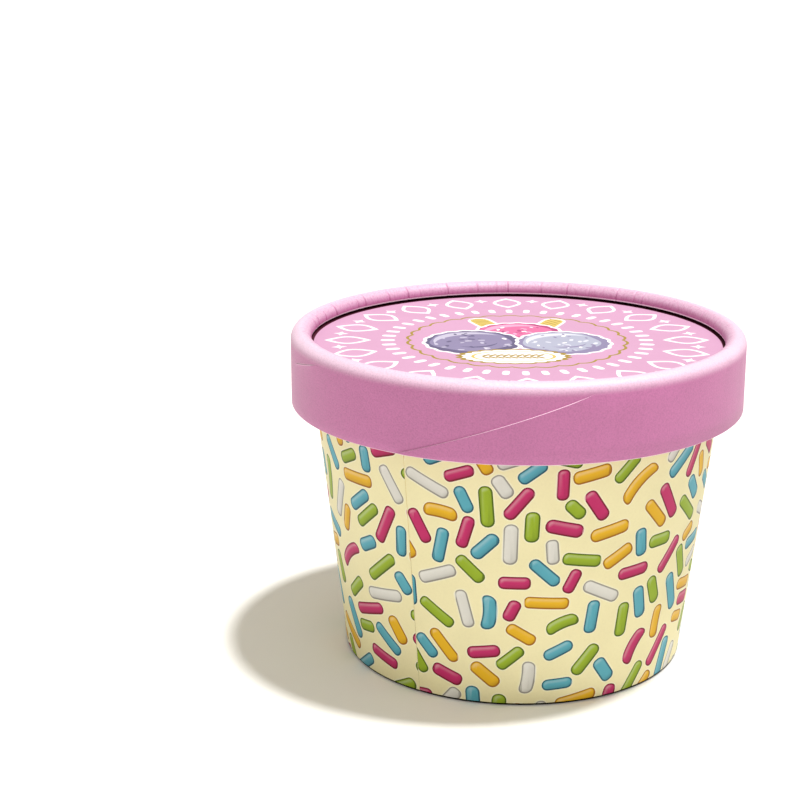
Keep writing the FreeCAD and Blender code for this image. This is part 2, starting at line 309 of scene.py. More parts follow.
@dataclass(frozen=True)
class RolledFinish(BoardFinish):
    """Dyed paper with painted light on its roll: a painted highlight that pales the crown, and
    painted shade on its inside and in its creases.

    top is the height of the roll and middle the radius of its middle line, and the pairs pales and
    turns_in are where the crown and the roll's inside start and where they are complete, from them.
    The mesh carries "crease": 0 on smooth paper, 1 in a fold, darkened there as painted shade, and
    negative on the ledge, paled there as a painted highlight.
    """

    # crown is the colour of the painted highlight over the top of the roll, placed by pales and
    # turns_in.
    crown: str = "ffffff"
    top: float = 0.0
    middle: float = 0.0
    pales: Place = (-2.7, -0.4)
    streak: float = 0.5
    streaks_below: float = 1.0
    turns_in: Place = (-1.4, 0.4)
    crown_lost: float = 0.2
    # The painted shade on the roll's inside, in its streaks and in its creases multiplies the tone by
    # this tint.
    shade_tint: Tone = (0.82, 0.5, 0.68)
    inner_shade: float = 0.5
    streak_shade: float = 0.45
    streak_shows: Place = (0.45, 0.7)
    # How far the ledge's painted highlight moves the tone towards crown.
    ledge_highlight: float = 0.6
    crease_shade: float = 0.8

    def ground(self, shader: Shader) -> Wire:
        """Blend from the flat paper's colour to the crown's painted highlight, with painted shade on
        the roll's inside, in streaks there and in its creases.
        """
        where = shader.where()
        height = shader.node("ShaderNodeSeparateXYZ", {}, {"Vector": where}, "Z")
        level = shader.node("ShaderNodeVectorMath", {"operation": "MULTIPLY"},
                            {0: where, 1: (1.0, 1.0, 0.0)})
        reach = shader.node("ShaderNodeVectorMath", {"operation": "LENGTH"}, {0: level}, "Value")
        lines = shader.node("ShaderNodeTexNoise", {},
                            {"Vector": level, "Scale": 1 / (self.streak * MM), "Detail": 1.0})
        inside = 1 - reach.rise(*((self.middle + away) * MM for away in self.turns_in))
        low, high = ((self.top + above) * MM for above in self.pales)
        # Painted highlight: the paper pales towards the top of the roll, less so on its inside.
        share = height.rise(low, high) * (1 - inside * self.crown_lost)
        above = height.rise(low - self.streaks_below * MM, low)
        crown, crease = colour(self.crown), shader.attribute("crease", "Fac")
        tone = shader.blend(share, colour(self.tone), crown)
        # Painted shade: the roll's inside is darkened below the crown.
        deep = shader.times(tone, self.shade_tint)
        tone = shader.blend(inside * (1 - share) * self.inner_shade, tone, deep)
        # Painted shade: darker streaks on the upper part of the roll's inside, for its fine creases.
        streaks = lines.rise(*self.streak_shows) * inside * above
        tone = shader.blend(streaks * self.streak_shade, tone, deep)
        # Painted highlight: along the ledge, where crease is negative, the tone pales towards crown.
        tone = shader.blend(crease * -self.ledge_highlight, tone, crown)
        # Painted shade: creases are darkened.
        return shader.blend(crease * self.crease_shade, tone, deep)


@dataclass(frozen=True)
class PrintFinish:
    """Printed board. The mesh carries each shape's ink and how far a point is inside it.

    The carried values are "ink", the flat colour; "edge", the distance in mm past the shape's edge,
    negative inside it; and "side", from 1 on the side that the artist lit to -1 on the other. A
    pair of lengths or shares is where something starts to show and where it shows in full.
    """

    name: str
    roughness: float
    outline: float = 0.0
    halo: float = 0.0
    modelling: float = 0.0
    gloss: float = 0.2
    grain: float = 0.5
    patch: float = 9.0
    relief: float = 0.012
    patch_shows: Place = (0.3, 0.7)
    grain_shows: Place = (0.4, 0.8)
    soft_edge: float = 0.02
    outline_at: Place = (-0.42, -0.2)
    outline_lean: float = 0.05
    under_at: Place = (-1.0, 0.25)
    under_grit: float = 0.2
    gleam_at: Place = (0.0, 0.85)
    gleam_edge: Place = (-0.75, -0.25)
    halo_at: Place = (0.05, 0.38)
    gleam_share: float = 0.66
    under_share: float = 0.55
    mottle_share: float = 0.06
    mixed: float = 0.55
    darkest: Tone = (0.012, 0.006, 0.004)
    lightest: Tone = (1.0, 1.0, 0.97)
    halo_tone: Tone = (1.0, 0.97, 0.86)
    worn_tone: Tone = (0.5, 0.45, 0.4)

    def make(self) -> bpy.types.Material:
        """Build the material."""
        shader = Shader(self.name)
        ink = shader.attribute("ink", "Color")
        edge, side = shader.attribute("edge", "Fac"), shader.attribute("side", "Fac")
        grain = shader.noise(self.grain, 3.0, 0.6)
        inside = 1 - edge.rise(-self.soft_edge, 0.0)
        rim = (edge - side * self.outline_lean).rise(*self.outline_at) * inside
        under = (1 - (side + grain * self.under_grit).rise(*self.under_at)) * inside
        gleam = side.rise(*self.gleam_at) * (1 - edge.rise(*self.gleam_edge)) * inside

        deep = shader.blend(self.mixed, shader.times(ink, ink), self.darkest)
        pale = shader.blend(self.mixed, ink, self.lightest)
        tone = shader.blend(gleam * (self.gleam_share * self.modelling), ink, pale)
        tone = shader.blend(under * (self.under_share * self.modelling), tone, deep)
        tone = shader.blend(rim * self.outline, tone, deep)
        near = (1 - edge.rise(*self.halo_at)) * (1 - inside) * self.halo
        tone = shader.blend(near, tone, self.halo_tone)
        mottle = shader.noise(self.patch).rise(*self.patch_shows) + grain.rise(*self.grain_shows)
        tone = shader.blend(mottle * self.mottle_share, tone, shader.times(tone, self.worn_tone))
        shader.bump(grain, self.relief)
        return shader.dress(tone, self.roughness, self.gloss)


@dataclass(frozen=True)
class FloorFinish:
    """A pale floor that the camera sees as white, with the object's shadow on it."""

    name: str
    tone: str
    seen: float

    def make(self) -> bpy.types.Material:
        """Build the material."""
        shader = Shader(self.name)
        rays = shader.node("ShaderNodeLightPath", {}, {}, "Is Camera Ray")
        plain = colour(self.tone)
        shown = tuple(min(c * self.seen, 1.0) for c in plain)
        return shader.dress(shader.blend(rays, plain, shown), 1.0, 0.0)


class Finishes:
    """Every material of the cup, made once."""

    def __init__(self) -> None:
        """Make the materials."""
        self.wall_print = PrintFinish(
            "printed_cream_board", 0.5, outline=0.9, halo=0.35, modelling=0.9).make()
        self.lid_print = PrintFinish("printed_pink_paper", 0.6).make()
        self.white_board = BoardFinish(
            "white_board", "f6f2ea", 0.5, 0.4, speckle=0.05, mottle=0.04).make()
        self.cut_board = BoardFinish(
            "cut_board_edge", "ddd3a6", 0.85, 0.2, speckle=0.12, mottle=0.05).make()
        reach, _, top = (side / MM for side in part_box("lid_ring")[1])
        # The pink paper's crown is paled by a painted highlight, and its roll's inside and creases
        # are darkened by painted shade.
        self.pink_paper = RolledFinish(
            "pink_paper", "c975aa", 0.45, 0.6, speckle=0.36, mottle=0.08, grain=0.32, relief=0.07,
            crown="f5d4ea", top=top, middle=reach - LidRing.bead).make()
        # Near-black maroon painted shade, for the faces seen through the gap between the lid's roll
        # and its panel.
        self.painted_shade_fold = BoardFinish("painted_shade_fold", "3c0a1c", 0.9, 0.1).make()
        # A near-black line painted at the cup's foot as its contact shadow.
        self.painted_foot_shadow = BoardFinish("painted_foot_shadow", "1a1208", 0.9, 0.0).make()
        self.pink_cut = BoardFinish(
            "pink_cut_edge", "fbe3f0", 0.85, 0.2, speckle=0.1, mottle=0.05).make()
        self.white_ink = BoardFinish(
            "white_ink", "fff6fb", 0.6, 0.3, speckle=0.03, mottle=0.03).make()


def as_piece(name: str, mesh: bmesh.types.BMesh, materials: Sequence[bpy.types.Material],
             node: str | None, body: str) -> bpy.types.Object:
    """Close a mesh, point its faces outward and hand it to the frame.

    Args:
        name: The piece's name.
        mesh: Its mesh, in metres. It is freed.
        materials: Its materials, in the order of its faces' numbers.
        node: The CAD node that it stands for, if it stands for one.
        body: The body that it rides on.

    Returns:
        The finished object.
    """
    bmesh.ops.remove_doubles(mesh, verts=mesh.verts, dist=MERGED)
    bmesh.ops.dissolve_degenerate(mesh, edges=mesh.edges, dist=VANISHING)
    bmesh.ops.recalc_face_normals(mesh, faces=mesh.faces)
    open_edges = sum(not edge.is_manifold for edge in mesh.edges)
    made = bpy.data.meshes.new(name)
    mesh.to_mesh(made)
    mesh.free()
    made.shade_smooth()
    for material in materials:
        made.materials.append(material)
    made.set_sharp_from_angle(angle=math.radians(SHARP))
    piece = bpy.data.objects.new(name, made)
    bpy.context.collection.objects.link(piece)
    if node:
        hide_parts(node)
    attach(piece, body)
    triangles = sum(len(face.vertices) - 2 for face in made.polygons)
    log.info("%s: %d triangles, %d open edges", name, triangles, open_edges)
    return piece


def skin(mesh: bmesh.types.BMesh, rows: Sequence[Sequence[Vector]], material: Callable[[int], int],
         closed: bool = False) -> None:
    """Join rows of points, each with as many points as the next, with faces.

    Args:
        mesh: The mesh to add to.
        rows: The rows of points.
        material: Gives the material's number for the strip above a row.
        closed: Whether the last row is joined to the first.
    """
    verts = [[mesh.verts.new(point) for point in row] for row in rows]
    strips = list(zip(verts, verts[1:] + verts[:1] if closed else verts[1:]))
    for number, (low, high) in enumerate(strips):
        for i in range(len(low) - 1):
            face = mesh.faces.new((low[i], low[i + 1], high[i + 1], high[i]))
            face.material_index = material(number)


@dataclass
class Shape:
    """One printed shape: a round-ended bar, straight or a little bent, on the flat blank."""

    x: float
    y: float
    angle: float
    half_length: float
    half_width: float
    ink: Ink
    blunt: float = 1.0
    bend: float = 0.0

    def local(self, x: float, y: float) -> Place:
        """Turn a place on the blank into one along and across the bar."""
        turn = math.radians(self.angle)
        dx, dy = x - self.x, y - self.y
        along = dx * math.cos(turn) + dy * math.sin(turn)
        across = dy * math.cos(turn) - dx * math.sin(turn)
        return along, across - self.bend * along * along

    def on_blank(self, along: float, across: float) -> Place:
        """Turn a place along and across the bar into one on the blank."""
        turn = math.radians(self.angle)
        across += self.bend * along * along
        return (
            self.x + along * math.cos(turn) - across * math.sin(turn),
            self.y + along * math.sin(turn) + across * math.cos(turn),
        )

    def outline(self, grow: float, steps: int = 4) -> list[Place]:
        """List the bar's outline on the blank, drawn grow mm outside its edge."""
        corner = self.half_width * self.blunt + grow
        reach, side = self.half_length + grow - corner, self.half_width + grow - corner
        points = []
        for quarter, (sx, sy) in enumerate(((1, 1), (-1, 1), (-1, -1), (1, -1))):
            first = 90.0 * quarter
            points += arc((sx * reach, sy * side), corner, first, first + 90, steps)
            if self.bend and sx == sy:
                shares = (1 - i / 4 for i in range(1, 8))
                points += [(sx * reach * share, sy * (side + corner)) for share in shares]
        return [self.on_blank(*point) for point in points]

    def edge_and_side(self, x: float, y: float, lit: float) -> Place:
        """Say how far outside the bar's edge a place is, and how much it faces the light.

        Args:
            x: The place on the blank.
            y: The place on the blank.
            lit: The direction on the blank that the drawn light comes from.

        Returns:
            The distance in mm, negative inside, and the share from -1 to 1.
        """
        along, across = self.local(x, y)
        corner = self.half_width * self.blunt
        dx, dy = abs(along) - self.half_length + corner, abs(across) - self.half_width + corner
        distance = math.hypot(max(dx, 0), max(dy, 0)) + min(max(dx, dy), 0) - corner
        spine = self.half_length - self.half_width
        away = (along - min(max(along, -spine), spine), across)
        light = math.radians(lit - self.angle)
        facing = (away[0] * math.cos(light) + away[1] * math.sin(light)) / self.half_width
        return distance, facing

    def spine(self) -> tuple[Place, Place]:
        """Give the two ends of the bar's middle line."""
        reach = max(self.half_length - self.half_width, 0.05)
        return self.on_blank(-reach, 0), self.on_blank(reach, 0)

    def thickness(self) -> float:
        """Say how far from its straight middle line the bar reaches."""
        return self.half_width + abs(self.bend) * self.half_length ** 2

    def reach(self) -> float:
        """Say how far from its centre the bar reaches at most."""
        return self.half_length + self.thickness() - self.half_width


def turned_by(p: Place, q: Place, r: Place) -> float:
    """Say which side of the line from p to q the place r lies on, by a number's sign."""
    return (q[0] - p[0]) * (r[1] - p[1]) - (q[1] - p[1]) * (r[0] - p[0])


def away_from(p: Place, q: Place, r: Place) -> float:
    """Measure how far p is from the stretch between q and r."""
    run = (r[0] - q[0], r[1] - q[1])
    share = ((p[0] - q[0]) * run[0] + (p[1] - q[1]) * run[1]) / (run[0] ** 2 + run[1] ** 2)
    share = min(max(share, 0.0), 1.0)
    return math.hypot(p[0] - q[0] - share * run[0], p[1] - q[1] - share * run[1])


def spine_gap(one: Shape, other: Shape) -> float:
    """Measure the shortest distance between the middle lines of two straight bars."""
    (a, b), (c, d) = one.spine(), other.spine()
    if turned_by(a, b, c) * turned_by(a, b, d) < 0 and turned_by(c, d, a) * turned_by(c, d, b) < 0:
        return 0.0
    return min(away_from(a, c, d), away_from(b, c, d), away_from(c, a, b), away_from(d, a, b))


@dataclass
class Blank:
    """The wall's flat blank: a slice of a ring, from the Y axis towards X."""

    inner: float
    outer: float
    sweep: float
    trim: float = 0.04
    halvings: int = 16

    def crossed_by(self, bar: Shape) -> bool:
        """Say whether a bar reaches over one of the blank's two straight edges."""
        turns = [math.atan2(x, y) * math.hypot(x, y) for x, y in bar.spine()]
        ends = math.radians(self.sweep) * math.hypot(bar.x, bar.y)
        return min(turns) < bar.half_width or max(turns) > ends - bar.half_width

    def holds(self, place: Place) -> bool:
        """Say whether a place is on the blank and off its very edge."""
        radius = math.hypot(*place)
        turn = math.atan2(*place)
        margin = self.trim / radius
        across = margin < turn < math.radians(self.sweep) - margin
        return across and self.inner + self.trim < radius < self.outer - self.trim

    def cut(self, first: Place, last: Place) -> list[Place]:
        """Cut a short line off where it leaves the blank.

        Args:
            first: One end of the line.
            last: Its other end.

        Returns:
            The two ends of what is left, or nothing.
        """
        kept = [self.holds(first), self.holds(last)]
        if all(kept) or not any(kept):
            return [first, last] if kept[0] else []
        good, bad = (first, last) if kept[0] else (last, first)
        for _ in range(self.halvings):
            middle = ((good[0] + bad[0]) / 2, (good[1] + bad[1]) / 2)
            if self.holds(middle):
                good = middle
            else:
                bad = middle
        return [first if kept[0] else last, good]


@dataclass
class Sprinkles:
    """The cup's print: round-ended bars strewn over the flat blank, none touching another."""

    tries: int = 90000
    shortest: float = 4.8
    longest: float = 10.4
    least_span: float = 0.25
    thinning: float = 1.5
    width: float = 2.75
    spread: float = 0.22
    blunt: Place = (0.8, 0.98)
    bent: float = 0.12
    bends: Place = (0.02, 0.06)
    gap: float = 0.5
    unlike_within: float = 2.2
    kept_whole: float = 0.97
    cell: float = 12.0
    seed: int = 11
    shares: tuple[tuple[Ink, int], ...] = (
        (Ink.MAGENTA, 20), (Ink.LIME, 22), (Ink.TEAL, 21), (Ink.AMBER, 22), (Ink.PEARL, 15),
    )

    def ink(self, rng: random.Random, beside: Iterable[Ink] = ()) -> Ink | None:
        """Draw an ink that isn't beside the bar, or give none where every ink is."""
        fresh = [(ink, weight) for ink, weight in self.shares if ink not in beside]
        if not fresh:
            return None
        inks, weights = zip(*fresh)
        return rng.choices(inks, weights)[0]

    def draw(self, rng: random.Random, blank: Blank, late: float) -> Shape:
        """Draw one bar, whose middle may lie a little outside the blank.

        Args:
            rng: The source of random draws.
            blank: The blank.
            late: How far the strewing has come, from 0 to 1. Later bars are shorter.

        Returns:
            The bar.
        """
        low, high = blank.inner - self.width, blank.outer + self.width
        radius = math.sqrt(rng.uniform(low ** 2, high ** 2))
        overhang = math.degrees(self.width / blank.outer)
        turn = math.radians(rng.uniform(-overhang, blank.sweep + overhang))
        share = self.least_span + (1 - self.least_span) * rng.random()
        share *= (1 - late) ** self.thinning
        length = self.shortest + (self.longest - self.shortest) * share
        bar = Shape(
            radius * math.sin(turn), radius * math.cos(turn), rng.uniform(0, 180), length / 2,
            self.width / 2 + rng.uniform(-1, 1) * self.spread / 2, self.ink(rng),
            rng.uniform(*self.blunt),
        )
        if rng.random() < self.bent:
            bar.bend = rng.choice((-1, 1)) * rng.uniform(*self.bends)
        return bar

    def strew(self, blank: Blank) -> list[Shape]:
        """Lay the bars on a blank, some of them cut off by its edges."""
        rng = random.Random(self.seed)
        grid: dict[tuple[int, int], list[Shape]] = {}
        laid: list[Shape] = []
        for attempt in range(self.tries):
            bar = self.draw(rng, blank, attempt / self.tries)
            if blank.crossed_by(bar) and rng.random() < self.kept_whole:
                continue
            x, y = int(bar.x // self.cell), int(bar.y // self.cell)
            cells = ((x + i, y + j) for i in (-1, 0, 1) for j in (-1, 0, 1))
            beside = self.inks_beside(bar, [other for at in cells for other in grid.get(at, [])])
            if beside is None:
                continue
            bar.ink = self.ink(rng, beside) or bar.ink
            grid.setdefault((x, y), []).append(bar)
            laid.append(bar)
        return laid

    def inks_beside(self, bar: Shape, near: Iterable[Shape]) -> set[Ink] | None:
        """Collect the inks of the bars close beside a new one.

        Args:
            bar: The new bar.
            near: The bars laid in the cells round it.

        Returns:
            The inks, or None where a bar is too close for the new one to be laid.
        """
        beside = set()
        for other in near:
            apart = math.hypot(bar.x - other.x, bar.y - other.y)
            if apart - bar.reach() - other.reach() > self.unlike_within:
                continue
            gap = spine_gap(bar, other) - bar.thickness() - other.thickness()
            if gap < self.gap:
                return None
            if gap < self.unlike_within:
                beside.add(other.ink)
        return beside


class Neighbours:
    """The bars of a print, sorted into square cells so that the one at a place is quick to find."""

    def __init__(self, bars: Iterable[Shape], cell: float = 4.0) -> None:
        """Sort each bar into every cell that it reaches."""
        self.cell = cell
        self.cells: dict[tuple[int, int], list[Shape]] = {}
        for bar in bars:
            reach = bar.half_length + FAR
            columns = range(int((bar.x - reach) // cell), int((bar.x + reach) // cell) + 1)
            rows = range(int((bar.y - reach) // cell), int((bar.y + reach) // cell) + 1)
            for key in ((i, j) for i in columns for j in rows):
                self.cells.setdefault(key, []).append(bar)

    def at(self, x: float, y: float) -> tuple[Shape | None, float]:
        """Find the bar nearest to a place, and how far outside its edge the place is."""
        nearest, least = None, FAR
        for bar in self.cells.get((int(x // self.cell), int(y // self.cell)), []):
            away = bar.edge_and_side(x, y, 0.0)[0]
            if away < least:
                nearest, least = bar, away
        return nearest, least


class PrintLayers:
    """Marks on the corners of a mesh's faces that a print finish reads."""

    def __init__(self, mesh: bmesh.types.BMesh) -> None:
        """Add the three layers to the mesh."""
        self.ink = mesh.loops.layers.float_color.new("ink")
        self.edge = mesh.loops.layers.float.new("edge")
        self.side = mesh.loops.layers.float.new("side")

    def mark(self, loop: bmesh.types.BMLoop, ink: Ink, edge: float = 1.0,
             side: float = 0.0) -> None:
        """Mark one corner of a face."""
        loop[self.ink] = (*colour(ink.value), 1.0)
        loop[self.edge], loop[self.side] = edge, side

    def fill(self, mesh: bmesh.types.BMesh, ink: Ink) -> None:
        """Mark every corner that carries no print with one ink. Each ink has some red in it."""
        for loop in (loop for face in mesh.faces for loop in face.loops):
            if loop[self.ink][0] == 0.0:
                self.mark(loop, ink)


class WallSide(IntEnum):
    """The wall's materials, in the order that its piece lists them."""

    PRINT = 0
    WHITE = 1
    CUT = 2
    # The near-black painted contact shadow at the foot.
    PAINTED_SHADOW = 3


class Row(NamedTuple):
    """A place in the wall's section, and how far it follows the lap on either side of the board."""

    place: Place
    outside: float = 0.0
    within: float = 0.0


@dataclass
class CupWall:
    """The cup's wall from its folded hem to its rolled rim, with the print on its outside.

    rings says how far outside each shape's edge the print is cut, and shaded how many of the strips
    at the foot are painted near-black as the cup's contact shadow. below_rim and above_fold are where
    the inner face runs straight between the rim and the hem.
    """

    finishes: Finishes
    foot_radius: float = 35.2
    taper: float = 6.6
    board: float = 0.4
    rim_roll: float = 1.7
    rim_curl: float = 1.1
    fold: float = 0.15
    pocket: float = 0.56
    hem: float = 6.0
    seam: float = 235.5
    lap: float = 11.4
    lap_board: float = 0.06
    lap_fade: float = 12.0
    columns: int = 180
    rings: tuple[float, ...] = (0.38, 0.0, -0.3, -0.72)
    drawn_light: float = 120.0
    below_rim: float = 1.0
    above_fold: float = 9.0
    shaded: int = 8

    def __post_init__(self) -> None:
        """Work out the places that follow from the sizes."""
        lean = math.radians(self.taper)
        self.across, self.rise = math.cos(lean), math.sin(lean)
        self.rim_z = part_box("cup_wall")[1][2] / MM - self.rim_roll
        self.rim_x = self.wall_at(self.rim_z) + (self.rim_roll - self.board) / self.across
        self.fold_out = self.board + self.fold
        self.foot_x = self.wall_at(self.fold_out) - self.fold_out / self.across
        self.hem_x = self.foot_x - self.pocket + 2 * self.fold
        self.lap_from = 360 - self.lap
        even = [360 * i / self.columns for i in range(self.columns + 1)]
        self.turns = sorted([*even, self.lap_from])

    def wall_at(self, height: float) -> float:
        """Give the radius of the wall's outer face at a height."""
        return self.foot_radius + height * self.rise / self.across

    def lift(self, turn: float) -> float:
        """Say how far the outer layer stands proud. Its cut edge is at 360 degrees."""
        return self.lap_board * smooth(self.lap_from - self.lap_fade, self.lap_from, turn)

    def build(self) -> bpy.types.Object:
        """Make the wall, rim and hem as one closed piece."""
        mesh = bmesh.new()
        layers = PrintLayers(mesh)
        low, high = self.wrap_print(mesh, layers)
        rows = self.section()
        self.turn_rest(mesh, rows)
        self.close_seam(mesh, rows, low, high)
        layers.fill(mesh, Ink.CREAM)
        dress = self.finishes
        materials = (dress.wall_print, dress.white_board, dress.cut_board, dress.painted_foot_shadow)
        return as_piece("printed_cup_wall", mesh, materials, "cup_wall", "cup")

    def on_wall(self, x: float, y: float) -> tuple[float, float, float]:
        """Roll a place on the flat blank up into the cone.

        Args:
            x: The place on the blank.
            y: The place on the blank.

        Returns:
            The radius, the degrees past the seam's cut edge and the height.
        """
        radius = math.hypot(x, y) * self.rise
        turn = math.degrees(math.atan2(x, y)) / self.rise
        return radius, turn, (radius - self.foot_radius) * self.across / self.rise

    def wrap_print(self, mesh: bmesh.types.BMesh, layers: PrintLayers) -> tuple[float, float]:
        """Cut the print's shapes into the flat blank and roll it up.

        Args:
            mesh: The mesh to add the wall's outer face to.
            layers: The mesh's print layers.

        Returns:
            The heights of the face's lower and upper edge.
        """
        low = self.fold_out - self.fold_out * self.rise
        high = self.rim_z + (self.rim_roll - self.board) * self.rise
        blank = Blank(self.wall_at(low) / self.rise, self.wall_at(high) / self.rise, 360 * self.rise)
        bars = Sprinkles().strew(blank)
        points, edges = self.ruled_blank(blank)
        for bar in bars:
            for ring in [*map(bar.outline, self.rings), list(bar.spine())]:
                for p, q in zip(ring, ring[1:] + ring[:1]):
                    kept = blank.cut(p, q)
                    if kept:
                        edges.append((len(points), len(points) + 1))
                        points += kept
        found = delaunay_2d_cdt([Vector(p) for p in points], edges, [], 1, SPLIT, False)
        places, triangles = found[0], found[2]
        self.raise_faces(mesh, layers, places, triangles, blank, Neighbours(bars))
        log.info("sprinkles: %d, blank of %d triangles", len(bars), len(triangles))
        return low, high

    def ruled_blank(self, blank: Blank) -> tuple[list[Place], list[tuple[int, int]]]:
        """Rule the flat blank along the lines that it bends about.

        Args:
            blank: The blank.

        Returns:
            The points on its two curved edges and the lines between them.
        """
        points: list[Place] = []
        edges: list[tuple[int, int]] = []
        for i, turn in enumerate(self.turns):
            flat = math.radians(turn * self.rise)
            for radius in (blank.inner, blank.outer):
                points.append((radius * math.sin(flat), radius * math.cos(flat)))
            edges.append((2 * i, 2 * i + 1))
            if i:
                edges += [(2 * i - 2, 2 * i), (2 * i - 1, 2 * i + 1)]
        return points, edges

    def raise_faces(self, mesh: bmesh.types.BMesh, layers: PrintLayers, places: list,
                    triangles: list, blank: Blank, bars: Neighbours) -> None:
        """Roll the blank's triangles up and mark their corners.

        Args:
            mesh: The mesh to add to.
            layers: The mesh's print layers.
            places: The triangles' corners on the blank.
            triangles: The corners' numbers.
            blank: The blank, within which a triangle is kept.
            bars: The bars, to be found by place.
        """
        verts = []
        for place in places:
            radius, turn, height = self.on_wall(*place)
            verts.append(mesh.verts.new(around(radius + self.lift(turn), self.seam + turn, height)))
        for corners in triangles:
            middle = sum((places[i] for i in corners), Vector((0.0, 0.0))) / 3
            if middle.length < blank.inner + HOLLOW:
                continue
            face = mesh.faces.new([verts[i] for i in corners])
            bar, depth = bars.at(middle.x, middle.y)
            if bar is None or depth > max(self.rings):
                for loop in face.loops:
                    layers.mark(loop, Ink.CREAM)
                continue
            lit = self.drawn_light - math.degrees(math.atan2(bar.x, bar.y))
            for loop, corner in zip(face.loops, corners):
                edge, side = bar.edge_and_side(*places[corner], lit)
                if depth < 0:
                    layers.mark(loop, bar.ink, min(edge, 0.0), side)
                else:
                    layers.mark(loop, Ink.CREAM, max(edge, OUTSIDE), side)

    def section(self) -> list[Row]:
        """Follow the board from the top of its print over the rim, down inside and round the hem.

        Returns:
            The rows, from the printed face's upper edge to its lower one.
        """
        lean = 180 - self.taper
        rim, curl = (self.rim_x, self.rim_z), (self.rim_x, self.rim_z - self.rim_roll + self.rim_curl)
        foot, hem = (self.foot_x, self.fold_out), (self.hem_x, self.fold_out)
        hidden = arc(rim, self.rim_roll - self.board, lean, -90, 20)
        hidden += arc(curl, self.rim_curl - self.board, 270, 180, 6)[1:]
        rolled = arc(curl, self.rim_curl, 180, 270, 8) + arc(rim, self.rim_roll, -90, lean, 34)[1:]
        top_x, top_z = rolled[-1]
        inner = [(top_x - (top_z - z) * self.rise / self.across, z)
                 for z in (top_z - self.below_rim, self.fold_out + self.above_fold)]
        hem_in, hem_out = arc(hem, self.fold, 270, lean, 3), arc(hem, self.fold_out, lean, 270, 6)
        hem_top = [(x + self.rise * self.hem, z + self.across * self.hem)
                   for x, z in (hem_in[-1], hem_out[0])]
        folded = arc(foot, self.fold, -self.taper, -90, 3) + hem_in + hem_top + hem_out
        turned = arc(foot, self.fold_out, -90, -self.taper, 6)
        rows = [Row(place) for place in hidden + rolled]
        rows += [Row(place, within=1.0) for place in inner]
        rows += [Row(place) for place in folded]
        rows += [Row((x, z), outside=max((x - self.foot_x) / self.fold_out, 0.0)) for x, z in turned]
        for end in (0, -1):
            rows[end] = rows[end]._replace(outside=1.0)
        return rows

    def turn_rest(self, mesh: bmesh.types.BMesh, rows: Sequence[Row]) -> None:
        """Turn the rim, the inner face and the hem, and close them onto the printed face.

        The column at the lap's start stands twice. The inner face follows the lap up to the first
        of the two and steps back at the second.

        Args:
            mesh: The mesh that holds the printed face.
            rows: The section's rows.
        """
        turns = sorted([*self.turns, self.lap_from])
        within = turns.index(self.lap_from)
        points = []
        for (radius, height), outside, inside in rows:
            shares = [outside + (inside if i <= within else 0.0) for i in range(len(turns))]
            points.append([around(radius + share * self.lift(turn), self.seam + turn, height)
                           for share, turn in zip(shares, turns)])
        # The last strips, round the foot, get the painted contact shadow.
        shaded_from = len(rows) - 1 - self.shaded
        skin(mesh, points, lambda number: WallSide.PAINTED_SHADOW if number >= shaded_from else WallSide.WHITE)

    def close_seam(self, mesh: bmesh.types.BMesh, rows: Sequence[Row], low: float,
                   high: float) -> None:
        """Add the cut edge of the outer layer, from the rim down round the foot.

        Args:
            mesh: The mesh that holds the rest of the wall.
            rows: The section's rows.
            low: The height of the printed face's lower edge.
            high: The height of its upper edge.
        """
        path = [Row(rows[1].place)]
        path += [Row((self.wall_at(height), height), outside=1.0) for height in (high, low)]
        path += reversed(rows[-7:-1])
        for one, other in zip(path, path[1:]):
            corners = [(one, one.outside), (other, other.outside), (other, 0.0), (one, 0.0)]
            points = [around(row.place[0] + share * self.lap_board, self.seam, row.place[1])
                      for row, share in corners]
            face = mesh.faces.new([mesh.verts.new(point) for point in points])
            face.material_index = WallSide.CUT


@dataclass
class CupBase:
    """The round panel inside the foot, with its turned-down edge."""

    finishes: Finishes
    taper: float = 6.6
    board: float = 0.4
    fold: float = 0.15
    rings: int = 8
    columns: int = 180

    def build(self) -> bpy.types.Object:
        """Make the panel as one closed piece."""
        (_, _, foot), (reach, _, face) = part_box("cup_base")
        foot, reach, face = foot / MM, reach / MM, face / MM
        corner = self.fold + self.board
        lean = math.radians(self.taper)
        middle = (reach - corner, face - corner)
        run = (middle[1] - corner * math.sin(lean) - foot) / math.cos(lean)
        away = (-run * math.sin(lean), -run * math.cos(lean))
        outside = arc(middle, corner, 90, -self.taper, 8)
        inside = arc(middle, self.fold, -self.taper, 90, 4)
        outside.append((outside[-1][0] + away[0], outside[-1][1] + away[1]))
        inside.insert(0, (inside[0][0] + away[0], inside[0][1] + away[1]))
        steps = [middle[0] * i / self.rings for i in range(1, self.rings)]
        top, under = face, face - self.board
        section = [(0.0, top), *[(r, top) for r in steps], *outside, *inside]
        section += [*[(r, under) for r in reversed(steps)], (0.0, under)]
        mesh = bmesh.new()
        turns = [360 * i / self.columns for i in range(self.columns + 1)]
        skin(mesh, [[around(r, t, z) for t in turns] for r, z in section], lambda _: 0)
        materials = (self.finishes.white_board,)
        return as_piece("white_cup_base", mesh, materials, "cup_base", "cup")


class RingSide(IntEnum):
    """The lid ring's materials, in the order that its piece lists them."""

    PAPER = 0
    CUT = 1
    # Near-black maroon painted shade, for faces seen only through the gap over the panel.
    PAINTED_SHADE = 2


